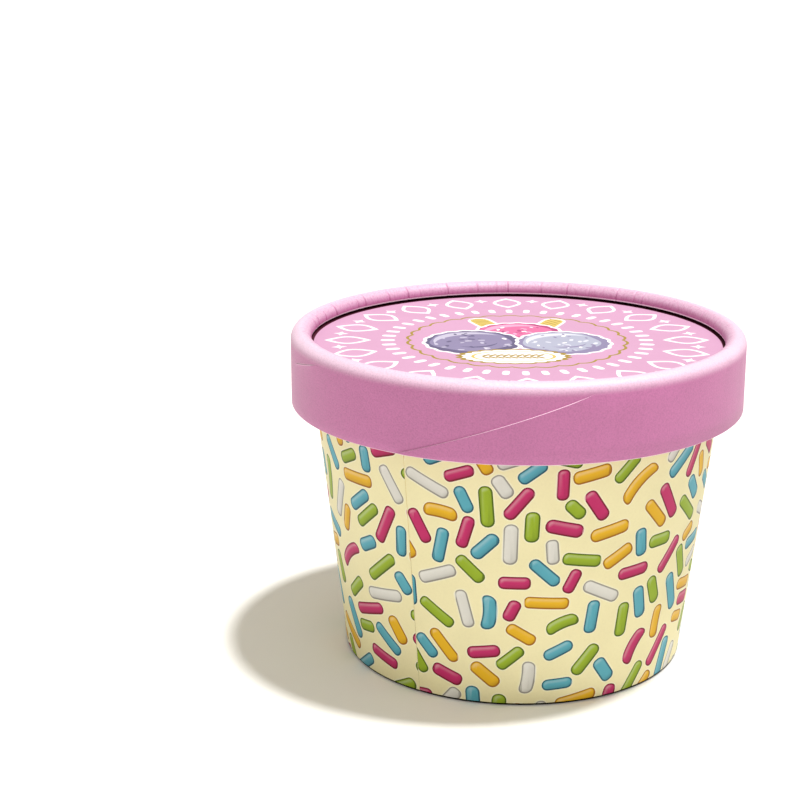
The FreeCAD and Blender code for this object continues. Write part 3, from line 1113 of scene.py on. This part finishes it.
@dataclass
class Rounds:
    """Rows of points round the lid, each joined to the next, that one piece is made of."""

    turns: list[float]
    rows: list[list[Vector]] = field(default_factory=list)
    sides: list[RingSide] = field(default_factory=list)
    creased: list[float] = field(default_factory=list)

    def add(self, place: Callable[[float], Place], side: RingSide = RingSide.PAPER,
            crease: Callable[[float], float] = lambda azimuth: 0.0) -> None:
        """Add a row.

        Args:
            place: Gives the radius and the height at an azimuth.
            side: The material of the strip between this row and the next.
            crease: Gives how deep in a crease an azimuth is, negative where the ledge gets a painted
                highlight.
        """
        azimuths = [turn % 360 for turn in self.turns]
        places = [place(azimuth) for azimuth in azimuths]
        self.rows.append([around(radius, turn, height)
                          for turn, (radius, height) in zip(self.turns, places)])
        self.sides.append(side)
        self.creased += map(crease, azimuths)

    def mesh(self) -> bmesh.types.BMesh:
        """Join the rows, the last one to the first, and mark each corner's crease."""
        mesh = bmesh.new()
        skin(mesh, self.rows, self.sides.__getitem__, closed=True)
        layer = mesh.verts.layers.float.new("crease")
        for vert, depth in zip(mesh.verts, self.creased, strict=True):
            vert[layer] = depth
        return mesh


class Fold(NamedTuple):
    """One small crease in the roll: where it is, how strong, how wide and which way it leans."""

    azimuth: float
    strength: float
    width: float
    lean: int

    def away(self, azimuth: float) -> float:
        """Say how far round from the crease an azimuth is, in widths of the crease."""
        return ((azimuth - self.azimuth + 180) % 360 - 180) / self.width

    def bump(self, azimuth: float, width: float, shift: float = 0.0) -> float:
        """Rise to 1 and back beside the crease, width and shift being shares of its own width."""
        return math.exp(-(((self.away(azimuth) - self.lean * shift) / width) ** 2))


@dataclass
class LidRing:
    """The lid's strip: a skirt with a slanted lap, rolled inward on top and gathered there.

    The fields named lap are the strip's outer end, and those named ledge its hidden inner end. A
    pair of angles is where something starts on the roll and where it is complete.
    """

    finishes: Finishes
    board: float = 0.45
    bead: float = 2.1
    leg: float = 0.55
    lap_middle: float = 261.0
    lap_reach: float = 47.0
    lap_cover: float = 8.0
    lap_board: float = 0.28
    lap_fade: float = 30.0
    lap_starts: float = 2.5
    lap_sinks: float = 1.6
    edge: float = 0.1
    ledge_from: float = 195.0
    ledge_to: float = 210.0
    ledge_rise: float = 0.22
    ledge_height: Place = (0.78, 0.97)
    ledge_fade: float = 3.0
    ledge_sinks: Place = (4.0, 22.0)
    creases: int = 50
    scatter: float = 0.42
    uneven: Place = (0.8, 1.1)
    strengths: tuple[float, ...] = (0.35, 0.5, 0.7, 1.0)
    widths: Place = (0.32, 0.5)
    sunk: float = 0.34
    raised: float = 0.12
    felt_within: float = 5.0
    swells: tuple[tuple[float, float, float], ...] = ((0.035, 7, 40), (0.025, 17, 0))
    gathered: Place = (60.0, 165.0)
    # From the first of these angles of the roll to the second, its creases come to be darkened in
    # full as painted shade.
    darkened: Place = (70.0, 120.0)
    steps: int = 22
    columns: int = 180
    apart: float = 0.09
    seed: int = 5

    def __post_init__(self) -> None:
        """Take the ring's reach from the frame and scatter its creases."""
        low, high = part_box("lid_ring")
        self.radius, self.foot = high[0] / MM, low[2] / MM
        self.bead_x, self.bead_z = self.radius - self.bead, high[2] / MM - self.bead
        rng = random.Random(self.seed)
        self.folds = [
            Fold(360 * (i + rng.uniform(-self.scatter, self.scatter)) / self.creases,
                 rng.choice(self.strengths) * rng.uniform(*self.uneven),
                 rng.uniform(*self.widths), rng.choice((-1, 1)))
            for i in range(self.creases)
        ]

    def gather(self, azimuth: float, share: float) -> float:
        """Say how far the gathered paper lies off its smooth roll.

        Args:
            azimuth: The place round the lid.
            share: How strongly the paper is gathered here, from 0 on the crown to 1 at its edge.

        Returns:
            The distance in mm, negative where a crease sinks in.
        """
        depth = 0.0
        for height, waves, first in self.swells:
            depth += height * math.sin(math.radians(azimuth * waves + first))
        for fold in self.folds:
            if abs(fold.away(azimuth)) < self.felt_within:
                ridge, sunk = fold.bump(azimuth, 1.0, 1.2), fold.bump(azimuth, 0.5)
                depth += fold.strength * (self.raised * ridge - self.sunk * sunk)
        return depth * share

    def crease(self, azimuth: float) -> float:
        """Say how deep in a crease a place round the lid is, from 0 to 1."""
        return min(max(fold.strength * fold.bump(azimuth, 0.55) for fold in self.folds), 1.0)

    def ledge(self, azimuth: float) -> float:
        """Say how far the hidden inner end of the strip pushes the paper out, from 0 to 1."""
        starts = smooth(self.ledge_from, self.ledge_from + self.ledge_fade, azimuth)
        return starts * (1 - smooth(self.ledge_to - self.ledge_fade, self.ledge_to, azimuth))

    def ledge_share(self, azimuth: float) -> float:
        """Say how high on the skirt that end runs: it climbs to the roll as the lap does."""
        low, high = self.ledge_height
        climb = (azimuth - self.ledge_from) / (self.ledge_to - self.ledge_from)
        sinks = smooth(*(self.ledge_to + past for past in self.ledge_sinks), azimuth)
        return low + (high - low) * min(max(climb, 0.0), 1.0) * (1 - sinks)

    def turns(self) -> list[float]:
        """List the azimuths of the columns, closer together at each crease."""
        marks = {round(360 * i / self.columns, 3) for i in range(self.columns)}
        for fold in self.folds:
            marks |= {round((fold.azimuth + fold.width * k / 2) % 360, 3) for k in range(-4, 5)}
        first, *others = sorted(marks)
        kept = [first]
        for mark in others:
            if mark - kept[-1] > self.apart:
                kept.append(mark)
        return [*kept, first + 360]

    def slant(self, azimuth: float) -> float:
        """Give the height of the outer layer's slanted end at an azimuth."""
        first = self.lap_middle - self.lap_reach / 2
        share = min(max((azimuth - first) / self.lap_reach, 0.0), 1.0)
        return self.foot + (self.bead_z - self.foot) * share

    def lapped(self, azimuth: float, height: float) -> float:
        """Say how far the outer layer stands proud at a place on the skirt."""
        first = self.lap_middle - self.lap_reach / 2
        last = first + self.lap_reach + self.lap_cover
        starts = smooth(first, first + self.lap_starts, azimuth)
        ends = 1 - smooth(last, last + self.lap_fade, azimuth)
        below = 1 - smooth(self.bead_z - self.lap_sinks, self.bead_z, height)
        return self.lap_board * starts * ends * below

    def below_slant(self, share: float, azimuth: float) -> Place:
        """Give a place on the outer layer, from 0 at its foot to 1 at its slanted end."""
        foot = self.foot + self.edge
        height = max(foot + (self.slant(azimuth) - foot) * share, foot)
        return self.radius + self.lapped(azimuth, height), height

    def above_slant(self, share: float, azimuth: float) -> Place:
        """Give a place on the skirt, from 0 at the outer layer's slanted end to 1 at the roll."""
        start = max(self.slant(azimuth), self.foot + self.edge)
        return self.radius, start + (self.bead_z - start) * share

    def on_ledge(self, offset: float, rise: float, azimuth: float) -> Place:
        """Give a place beside the ledge, offset from its line and raised by a share of it."""
        radius, height = self.above_slant(self.ledge_share(azimuth) + offset, azimuth)
        return radius + rise * self.ledge_rise * self.ledge(azimuth), height

    def on_roll(self, angle: float, azimuth: float) -> Place:
        """Give a place on the roll, from 0 degrees on the skirt over the crown to 180 inside."""
        reach = self.bead + self.gather(azimuth, smooth(*self.gathered, angle))
        turn = math.radians(angle)
        return self.bead_x + reach * math.cos(turn), self.bead_z + reach * math.sin(turn)

    def build(self) -> bpy.types.Object:
        """Make the ring as one closed piece."""
        rounds = Rounds(self.turns())
        self.add_skirt(rounds)
        self.add_roll(rounds)
        self.add_hidden(rounds)
        materials = (self.finishes.pink_paper, self.finishes.pink_cut, self.finishes.painted_shade_fold)
        return as_piece("pink_lid_ring", rounds.mesh(), materials, "lid_ring", "lid")

    def add_skirt(self, rounds: Rounds) -> None:
        """Add the skirt's outer face, below and then above the slanted end of its outer layer."""
        rounds.add(lambda t: (self.radius - self.edge + self.lapped(t, self.foot), self.foot),
                   RingSide.CUT)
        for share in (0.0, 0.25, 0.5, 0.75, 0.88):
            rounds.add(partial(self.below_slant, share))
        rounds.add(partial(self.below_slant, 1.0), RingSide.CUT)
        for share in (0.0, 0.12, 0.35, 0.6):
            rounds.add(partial(self.above_slant, share))
        # The two middle ledge rows carry a negative crease, which the finish paints as a highlight
        # along the ledge.
        for offset, rise, painted_highlight in ((-0.1, 0.0, 0.0), (-0.02, 0.8, 0.0), (-0.004, 1.0, 1.0),
                                   (0.004, 0.0, 1.0), (0.018, 0.0, 0.0)):
            rounds.add(partial(self.on_ledge, offset, rise),
                       crease=lambda t, painted_highlight=painted_highlight: -painted_highlight * self.ledge(t))

    def add_roll(self, rounds: Rounds) -> None:
        """Add the roll's outer face from the skirt over the crown to its cut edge."""
        # The roll's creases are darkened as painted shade, fading in over darkened, and the leg's
        # creases in full.
        for angle in (180 * i / self.steps for i in range(self.steps + 1)):
            seen = smooth(*self.darkened, angle)
            rounds.add(partial(self.on_roll, angle),
                       crease=lambda t, seen=seen: seen * self.crease(t))
        inner = self.bead_x - self.bead
        for drop, side in ((0.08, RingSide.PAPER), (self.leg - 0.3, RingSide.CUT)):
            rounds.add(lambda t, drop=drop: (inner - self.gather(t, 1.0), self.bead_z - drop),
                       side, self.crease)
        # The leg's cut edge is near-black maroon: painted shade in the gap over the panel.
        rounds.add(lambda t: (inner + self.edge - self.gather(t, 0.5), self.bead_z - self.leg),
                   RingSide.PAINTED_SHADE)

    def add_hidden(self, rounds: Rounds) -> None:
        """Add the board's other face, from the cut edge back to the skirt's lower edge."""
        bead, inner = (self.bead_x, self.bead_z), self.bead_x - self.bead + self.board
        # The board's hidden face inside the roll is near-black maroon, painted shade seen through the
        # gap.
        rounds.add(lambda t: (inner, self.bead_z - self.leg), RingSide.PAINTED_SHADE)
        rolled = arc(bead, self.bead - self.board, 180, 0, 12)
        for place in rolled[:-2]:
            rounds.add(lambda t, place=place: place, RingSide.PAINTED_SHADE)
        reach = self.radius - self.board
        for place in (*rolled[-2:], (reach, self.foot + self.edge)):
            rounds.add(lambda t, place=place: place)
        rounds.add(lambda t: (reach + self.edge, self.foot), RingSide.CUT)


class PanelSide(IntEnum):
    """The lid panel's materials, in the order that its piece lists them."""

    PRINT = 0
    WHITE = 1
    # Near-black maroon painted shade, for the turned-up edge seen only through the gap under the
    # roll.
    PAINTED_SHADE = 2


class Scoop(NamedTuple):
    """One scoop of the drawing: its place, its size and its three inks."""

    x: float
    y: float
    radius: float
    base: Ink
    light: Ink
    dark: Ink

    def draw(self, rng: random.Random, flecks: int) -> list[Drawn]:
        """Draw it with a white edge, a lit side, a shaded one and flecks strewn over it."""
        x, y, radius, base, light, dark = self
        drawn = [
            (blob(x, y, radius + 0.75, 0.22, 17), Ink.WHITE),
            (blob(x, y, radius, 0.22, 17), dark),
            (blob(x - 0.5, y + 0.8, radius - 1.3, 0.3, 5), base),
            (crescent(x - 0.5, y + 0.9, radius - 2.0, 2.2, 118, 78), light),
            (crescent(x + 0.2, y + 0.2, radius - 4.8, 0.9, 290, 60), dark),
        ]
        for _ in range(flecks):
            turn, away = rng.uniform(0, math.tau), (radius - 1.6) * math.sqrt(rng.random())
            at = (x + away * math.cos(turn), y + away * math.sin(turn))
            ink = rng.choice((Ink.WHITE, light, light, dark, dark))
            size = rng.uniform(0.18, 0.42)
            drawn.append((bar(*at, rng.uniform(0, 180), size * 2, size), ink))
        return drawn


@dataclass
class LidPanel:
    """The lid's round printed panel, with its edge turned up inside the roll."""

    finishes: Finishes
    board: float = 0.45
    fold: float = 0.15
    opening: float = 41.5
    # From opening out to shaded_to the face is printed near-black maroon as painted shade under the
    # roll.
    shaded_to: float = 44.0
    flecks: int = 34
    columns: int = 180
    seed: int = 8

    def __post_init__(self) -> None:
        """Take the panel's reach from the frame."""
        low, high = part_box("lid_disc")
        self.radius, self.under, self.brim = high[0] / MM, low[2] / MM, high[2] / MM
        self.face = self.under + self.board

    def artwork(self) -> list[Drawn]:
        """Draw the panel's middle: three scoops with wafers in a thin scalloped gold ring, and a ring
        of painted shade at its edge under the roll.

        Returns:
            Each shape's outline and ink, the ones drawn over others last.
        """
        drawn = [
            # Painted shade: a dark ring under the roll, with the pink field laid over it out to the
            # opening.
            (scallops(self.shaded_to, 0.0, 30), Ink.PAINTED_SHADE),
            (scallops(self.opening, 0.0, 30), Ink.PINK),
            (scallops(22.0, 0.8, 30), Ink.GOLD), (scallops(21.4, 0.8, 30), Ink.PINK),
            *self.wafer(-5.5, 14.0, 112), *self.wafer(7.5, 13.6, 66),
        ]
        rng = random.Random(self.seed)
        for scoop in (
            Scoop(0.8, 6.2, 8.8, Ink.ROSE, Ink.ROSE_LIGHT, Ink.ROSE_DARK),
            Scoop(-9.0, -1.6, 9.6, Ink.VIOLET, Ink.VIOLET_LIGHT, Ink.VIOLET_DARK),
            Scoop(9.4, -2.2, 9.2, Ink.SMOKE, Ink.SMOKE_LIGHT, Ink.VIOLET),
        ):
            drawn += scoop.draw(rng, self.flecks)
        return drawn + self.plaque(-1.5, -13.4)

    def wafer(self, x: float, y: float, angle: float) -> list[Drawn]:
        """Draw a wafer with a white edge and slanted lines across it."""
        turn = math.radians(angle)
        drawn = [(bar(x, y, angle, 6.2, 2.6), Ink.WHITE)]
        drawn.append((bar(x, y, angle, 5.6, 2.0), Ink.GOLD_LIGHT))
        for along in (1.5 * k for k in range(-3, 4)):
            at = (x + along * math.cos(turn), y + along * math.sin(turn))
            drawn.append((bar(*at, angle + 60, 1.8, 0.18), Ink.GOLD))
        return drawn

    def plaque(self, x: float, y: float) -> list[Drawn]:
        """Draw an oval plaque with a scalloped gold edge and a twig of gold leaves on it."""
        drawn = [
            ([(x + px * wide, y + py) for px, py in scallops(radius, depth, 22)], ink)
            for wide, radius, depth, ink in (
                (1.9, 5.6, 0.5, Ink.GOLD), (1.92, 5.0, 0.4, Ink.WHITE),
                (1.95, 4.3, 0.0, Ink.GOLD_LIGHT), (1.96, 3.95, 0.0, Ink.WHITE),
            )
        ]
        for k in range(-4, 5):
            for lean in (-1, 1):
                at = (x + 1.35 * k, y + lean * 0.85)
                drawn.append((bar(*at, lean * 42, 1.05, 0.36), Ink.GOLD))
        return drawn

    def build(self) -> bpy.types.Object:
        """Make the panel as one closed piece, with its print cut into the top face."""
        mesh = bmesh.new()
        layers = PrintLayers(mesh)
        flat = self.radius - self.board - self.fold
        turns = [360 * i / self.columns for i in range(self.columns + 1)]
        points = arc((0.0, 0.0), flat, 0, 360, self.columns)[:-1]
        edges = [(i, (i + 1) % self.columns) for i in range(self.columns)]
        faces: list[list[int]] = []
        drawn = self.artwork()
        for outline, _ in drawn:
            faces.append([len(points) + i for i in range(len(outline))])
            points += outline
        corners = [Vector(place) for place in points]
        places, _, triangles, _, _, inside = delaunay_2d_cdt(corners, edges, faces, 1, SPLIT, True)
        verts = [mesh.verts.new(Vector((*place, self.face)) * MM) for place in places]
        for triangle, outlines in zip(triangles, inside):
            ink = drawn[max(outlines)][1] if outlines else Ink.PINK
            for loop in mesh.faces.new([verts[i] for i in triangle]).loops:
                layers.mark(loop, ink)
        self.turn_edge(mesh, flat, turns)
        layers.fill(mesh, Ink.PINK)
        materials = (self.finishes.lid_print, self.finishes.white_board, self.finishes.painted_shade_fold)
        return as_piece("printed_lid_panel", mesh, materials, "lid_disc", "lid")

    def turn_edge(self, mesh: bmesh.types.BMesh, flat: float, turns: list[float]) -> None:
        """Add the turned-up edge and the panel's underside.

        Args:
            mesh: The mesh that holds the printed face.
            flat: The radius of that face.
            turns: The azimuths of the columns.
        """
        corner = (flat, self.face + self.fold)
        section = arc(corner, self.fold, -90, 0, 4) + [(self.radius - self.board, self.brim)]
        # The turned-up edge, up to the brim, gets the painted shade of the gap under the roll.
        shaded = len(section)
        section.append((self.radius, self.brim))
        section += arc(corner, self.fold + self.board, 0, -90, 7)
        section += [(flat * share, self.under) for share in (0.75, 0.5, 0.25, 0.0)]
        rows = [[around(r, t, z) for t in turns] for r, z in section]
        skin(mesh, rows, lambda number: PanelSide.PAINTED_SHADE if number < shaded else PanelSide.WHITE)


def bar(x: float, y: float, angle: float, half_length: float, half_width: float) -> list[Place]:
    """Outline a round-ended bar."""
    return Shape(x, y, angle, half_length, half_width, Ink.WHITE).outline(0.0, 3)


def wavy(x: float, y: float, radius: Callable[[float], float], steps: int) -> list[Place]:
    """Outline a round shape whose radius changes on the way round, by its angle in radians."""
    turns = [math.tau * i / steps for i in range(steps)]
    return [(x + radius(t) * math.cos(t), y + radius(t) * math.sin(t)) for t in turns]


def blob(x: float, y: float, radius: float, wave: float, waves: int) -> list[Place]:
    """Outline a round shape with a softly uneven edge."""
    return wavy(x, y, lambda t: radius + wave * math.sin(waves * t + x), 72)


def crescent(x: float, y: float, radius: float, width: float, middle: float, reach: float,
             steps: int = 16) -> list[Place]:
    """Outline a crescent that follows a circle.

    Args:
        x: The circle's centre.
        y: The circle's centre.
        radius: The circle's radius.
        width: The crescent's greatest width.
        middle: The direction of its middle.
        reach: The angle from its middle to each tip.
        steps: How many stretches each of its two lines is cut into.

    Returns:
        Its outline.
    """
    outside = arc((x, y), radius, middle - reach, middle + reach, steps)
    inside = []
    for i in range(steps - 1, 0, -1):
        turn = middle - reach + 2 * reach * i / steps
        thin = radius - width * math.cos(math.radians(turn - middle) * 90 / reach)
        inside += arc((x, y), thin, turn, turn, 1)[:1]
    return outside + inside


def scallops(radius: float, depth: float, number: int) -> list[Place]:
    """Outline a circle whose edge is a row of small bows."""
    return wavy(0.0, 0.0, lambda t: radius + depth * abs(math.sin(number * t / 2)), number * 8)


@dataclass
class RingOfMarks:
    """White marks printed in a ring on the lid's panel, laid out by a small node tree."""

    name: str
    finishes: Finishes
    radius: float
    count: int
    outlines: list[list[Place]]
    first: float = 0.0
    ink_depth: float = 0.03

    def mark(self) -> bpy.types.Object:
        """Make one mark as a thin closed plate, its top pointing away from the lid's centre."""
        mesh = bmesh.new()
        for outline in self.outlines:
            low, high = (
                [mesh.verts.new(Vector((*place, height)) * MM) for place in outline]
                for height in (0.0, 2 * self.ink_depth)
            )
            mesh.faces.new(low)
            mesh.faces.new(high)
            for i in range(len(outline)):
                mesh.faces.new((low[i - 1], low[i], high[i], high[i - 1]))
        bmesh.ops.recalc_face_normals(mesh, faces=mesh.faces)
        data = bpy.data.meshes.new(self.name + "_mark")
        mesh.to_mesh(data)
        mesh.free()
        return bpy.data.objects.new(self.name + "_mark", data)

    def tree(self, mark: bpy.types.Object) -> bpy.types.NodeTree:
        """Build the tree that lays the marks round a circle.

        Args:
            mark: The mark that is repeated.

        Returns:
            The node tree, with the count, radius, height and first azimuth as its inputs.
        """
        tree = bpy.data.node_groups.new(self.name, "GeometryNodeTree")
        for title, kind in (("Marks", "NodeSocketInt"), ("Radius", "NodeSocketFloat"),
                            ("Height", "NodeSocketFloat"), ("First azimuth", "NodeSocketFloat")):
            tree.interface.new_socket(title, in_out="INPUT", socket_type=kind)
        tree.interface.new_socket("Geometry", in_out="OUTPUT", socket_type="NodeSocketGeometry")
        given = tree.nodes.new("NodeGroupInput").outputs

        def node(kind: str, inputs: dict, **settings: str) -> bpy.types.NodeSocket:
            """Add a node to this tree and return its first output."""
            return add_node(tree, kind, settings, inputs).outputs[0]

        line = node("GeometryNodeMeshLine", {"Count": given["Marks"], "Offset": (0.0, 0.0, 0.0)},
                    mode="OFFSET")
        step = node("ShaderNodeMath", {0: math.tau, 1: given["Marks"]}, operation="DIVIDE")
        number = node("GeometryNodeInputIndex", {})
        turn = node("ShaderNodeMath", {0: number, 1: step, 2: given["First azimuth"]},
                    operation="MULTIPLY_ADD")
        reach = node("ShaderNodeCombineXYZ", {"Y": given["Radius"], "Z": given["Height"]})
        placed = node("ShaderNodeVectorRotate", {"Vector": reach, "Angle": turn},
                      rotation_type="Z_AXIS")
        moved = node("GeometryNodeSetPosition", {"Geometry": line, "Position": placed})
        shown = add_node(tree, "GeometryNodeObjectInfo", {}, {"Object": mark}).outputs["Geometry"]
        spin = node("ShaderNodeCombineXYZ", {"Z": turn})
        laid = node("GeometryNodeInstanceOnPoints",
                    {"Points": moved, "Instance": shown, "Rotation": spin})
        real = node("GeometryNodeRealizeInstances", {"Geometry": laid})
        inked = node("GeometryNodeSetMaterial",
                     {"Geometry": real, "Material": self.finishes.white_ink})
        add_node(tree, "NodeGroupOutput", {}, {0: inked})
        return tree

    def build(self, height: float) -> bpy.types.Object:
        """Lay the marks out on the panel's face and make them one plain mesh.

        Args:
            height: The height of the panel's face.

        Returns:
            The finished object.
        """
        mark = self.mark()
        holder = bpy.data.objects.new(self.name, bpy.data.meshes.new(self.name + "_holder"))
        bpy.context.collection.objects.link(holder)
        modifier = holder.modifiers.new("marks", "NODES")
        modifier.node_group = self.tree(mark)
        values = {
            "Marks": self.count, "Radius": self.radius * MM,
            "Height": (height - self.ink_depth) * MM, "First azimuth": math.radians(self.first),
        }
        for item in modifier.node_group.interface.items_tree:
            if item.in_out == "INPUT":
                modifier[item.identifier] = values[item.name]
        graph = bpy.context.evaluated_depsgraph_get()
        made = bpy.data.meshes.new_from_object(holder.evaluated_get(graph))
        holder.modifiers.remove(modifier)
        holder.data = made
        bpy.data.objects.remove(mark)
        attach(holder, "lid")
        log.info("%s: %d faces", self.name, len(made.polygons))
        return holder


def petal(height: float, width: float, stroke: float, steps: int = 20) -> list[list[Place]]:
    """Outline a hollow petal as two halves of a ring, point outward.

    Args:
        height: From its foot to its tip.
        width: Across its widest place.
        stroke: The width of the drawn line.
        steps: How many stretches each side of the line is cut into.

    Returns:
        The outlines of its left and right half.
    """
    half: list[Place] = []
    for grow, order in ((stroke / 2, range(steps + 1)), (-stroke / 2, range(steps, -1, -1))):
        for share in (i / steps for i in order):
            reach = (width / 2 + grow) * math.sin(math.pi * share)
            half.append((reach, (height / 2 + TIP * grow) * (2 * share - 1)))
    return [half, [(-x, y) for x, y in half]]


def star(radius: float, waist: float, points: int) -> list[Place]:
    """Outline a star, from its points' radius in to its waist and out again."""
    turns = [math.pi * i / points for i in range(2 * points)]
    reaches = (radius, waist) * points
    return [(away * math.sin(t), away * math.cos(t)) for away, t in zip(reaches, turns)]


@dataclass
class Studio:
    """The pale floor, the soft light and the camera at the photograph's angle."""

    camera_at: tuple[float, float, float] = (-0.0239, -0.3462, 0.1498)
    pitch: float = -15.77
    lens: float = 78.4
    sensor: float = 36.0
    floor_reach: float = 6.0
    sky: float = 0.49
    sky_tone: Tone = (1.0, 0.95, 0.84)

    def build(self) -> None:
        """Make the floor, the lamps, the world and the camera."""
        self.floor()
        self.sun("key", climb=77.0, azimuth=-8.0, spread=5.5, power=3.2)
        self.sun("front", climb=25.0, azimuth=-100.0, spread=100.0, power=0.35)
        self.world()
        camera = bpy.data.cameras.new("camera")
        camera.lens, camera.sensor_width = self.lens, self.sensor
        seen = bpy.data.objects.new("camera", camera)
        seen.location = self.camera_at
        seen.rotation_euler = (math.radians(90 + self.pitch), 0.0, 0.0)
        bpy.context.collection.objects.link(seen)
        bpy.context.scene.camera = seen
        bpy.context.scene.view_settings.view_transform = "Standard"

    def floor(self) -> None:
        """Lay the floor that the cup stands on."""
        mesh = bmesh.new()
        bmesh.ops.create_grid(mesh, x_segments=1, y_segments=1, size=self.floor_reach)
        data = bpy.data.meshes.new("floor")
        mesh.to_mesh(data)
        mesh.free()
        data.materials.append(FloorFinish("pale_floor", "eeedea", 1.15).make())
        piece = bpy.data.objects.new("floor", data)
        bpy.context.collection.objects.link(piece)

    def sun(self, name: str, climb: float, azimuth: float, spread: float, power: float) -> None:
        """Add a far lamp.

        Args:
            name: The lamp's name.
            climb: How high it stands over the floor, in degrees.
            azimuth: The side that it shines from, in degrees from +X towards +Y.
            spread: How wide it looks from the cup, in degrees, which softens its shadow.
            power: Its strength.
        """
        light = bpy.data.lights.new(name, "SUN")
        light.energy, light.angle = power, math.radians(spread)
        hung = bpy.data.objects.new(name, light)
        up, side = math.radians(climb), math.radians(azimuth)
        flat = math.cos(up)
        toward = Vector((flat * math.cos(side), flat * math.sin(side), math.sin(up)))
        hung.location = toward
        hung.rotation_euler = toward.to_track_quat("Z", "Y").to_euler()
        bpy.context.collection.objects.link(hung)

    def world(self) -> None:
        """Light the cup evenly from all round, and show the camera plain white."""
        world = bpy.data.worlds.new("studio")
        world.use_nodes = True
        bpy.context.scene.world = world
        tree = world.node_tree
        soft = tree.nodes["Background"]
        feed(tree, soft.inputs["Color"], self.sky_tone)
        feed(tree, soft.inputs["Strength"], self.sky)
        white = add_node(tree, "ShaderNodeBackground", {}, {"Color": (1.0, 1.0, 1.0)})
        rays = add_node(tree, "ShaderNodeLightPath", {}, {})
        mix = add_node(tree, "ShaderNodeMixShader", {}, {
            0: rays.outputs["Is Camera Ray"], 1: soft.outputs[0], 2: white.outputs[0],
        })
        feed(tree, tree.nodes["World Output"].inputs["Surface"], mix.outputs[0])


def main() -> None:
    """Build the cup, piece by piece, and the studio round it."""
    finishes = Finishes()
    CupWall(finishes).build()
    CupBase(finishes).build()
    LidRing(finishes).build()
    panel = LidPanel(finishes)
    panel.build()
    petals, stars, dashes = petal(8.4, 5.6, 0.75), [star(1.6, 0.7, 4)], [bar(0, 0, 90, 1.5, 0.7)]
    for ring in (
        RingOfMarks("lid_petals", finishes, radius=34.6, count=20, outlines=petals),
        RingOfMarks("lid_stars", finishes, radius=36.6, count=20, outlines=stars, first=9.0),
        RingOfMarks("lid_dashes", finishes, radius=26.4, count=44, outlines=dashes),
    ):
        ring.build(panel.face)
    Studio().build()


if __name__ == "__main__":
    main()
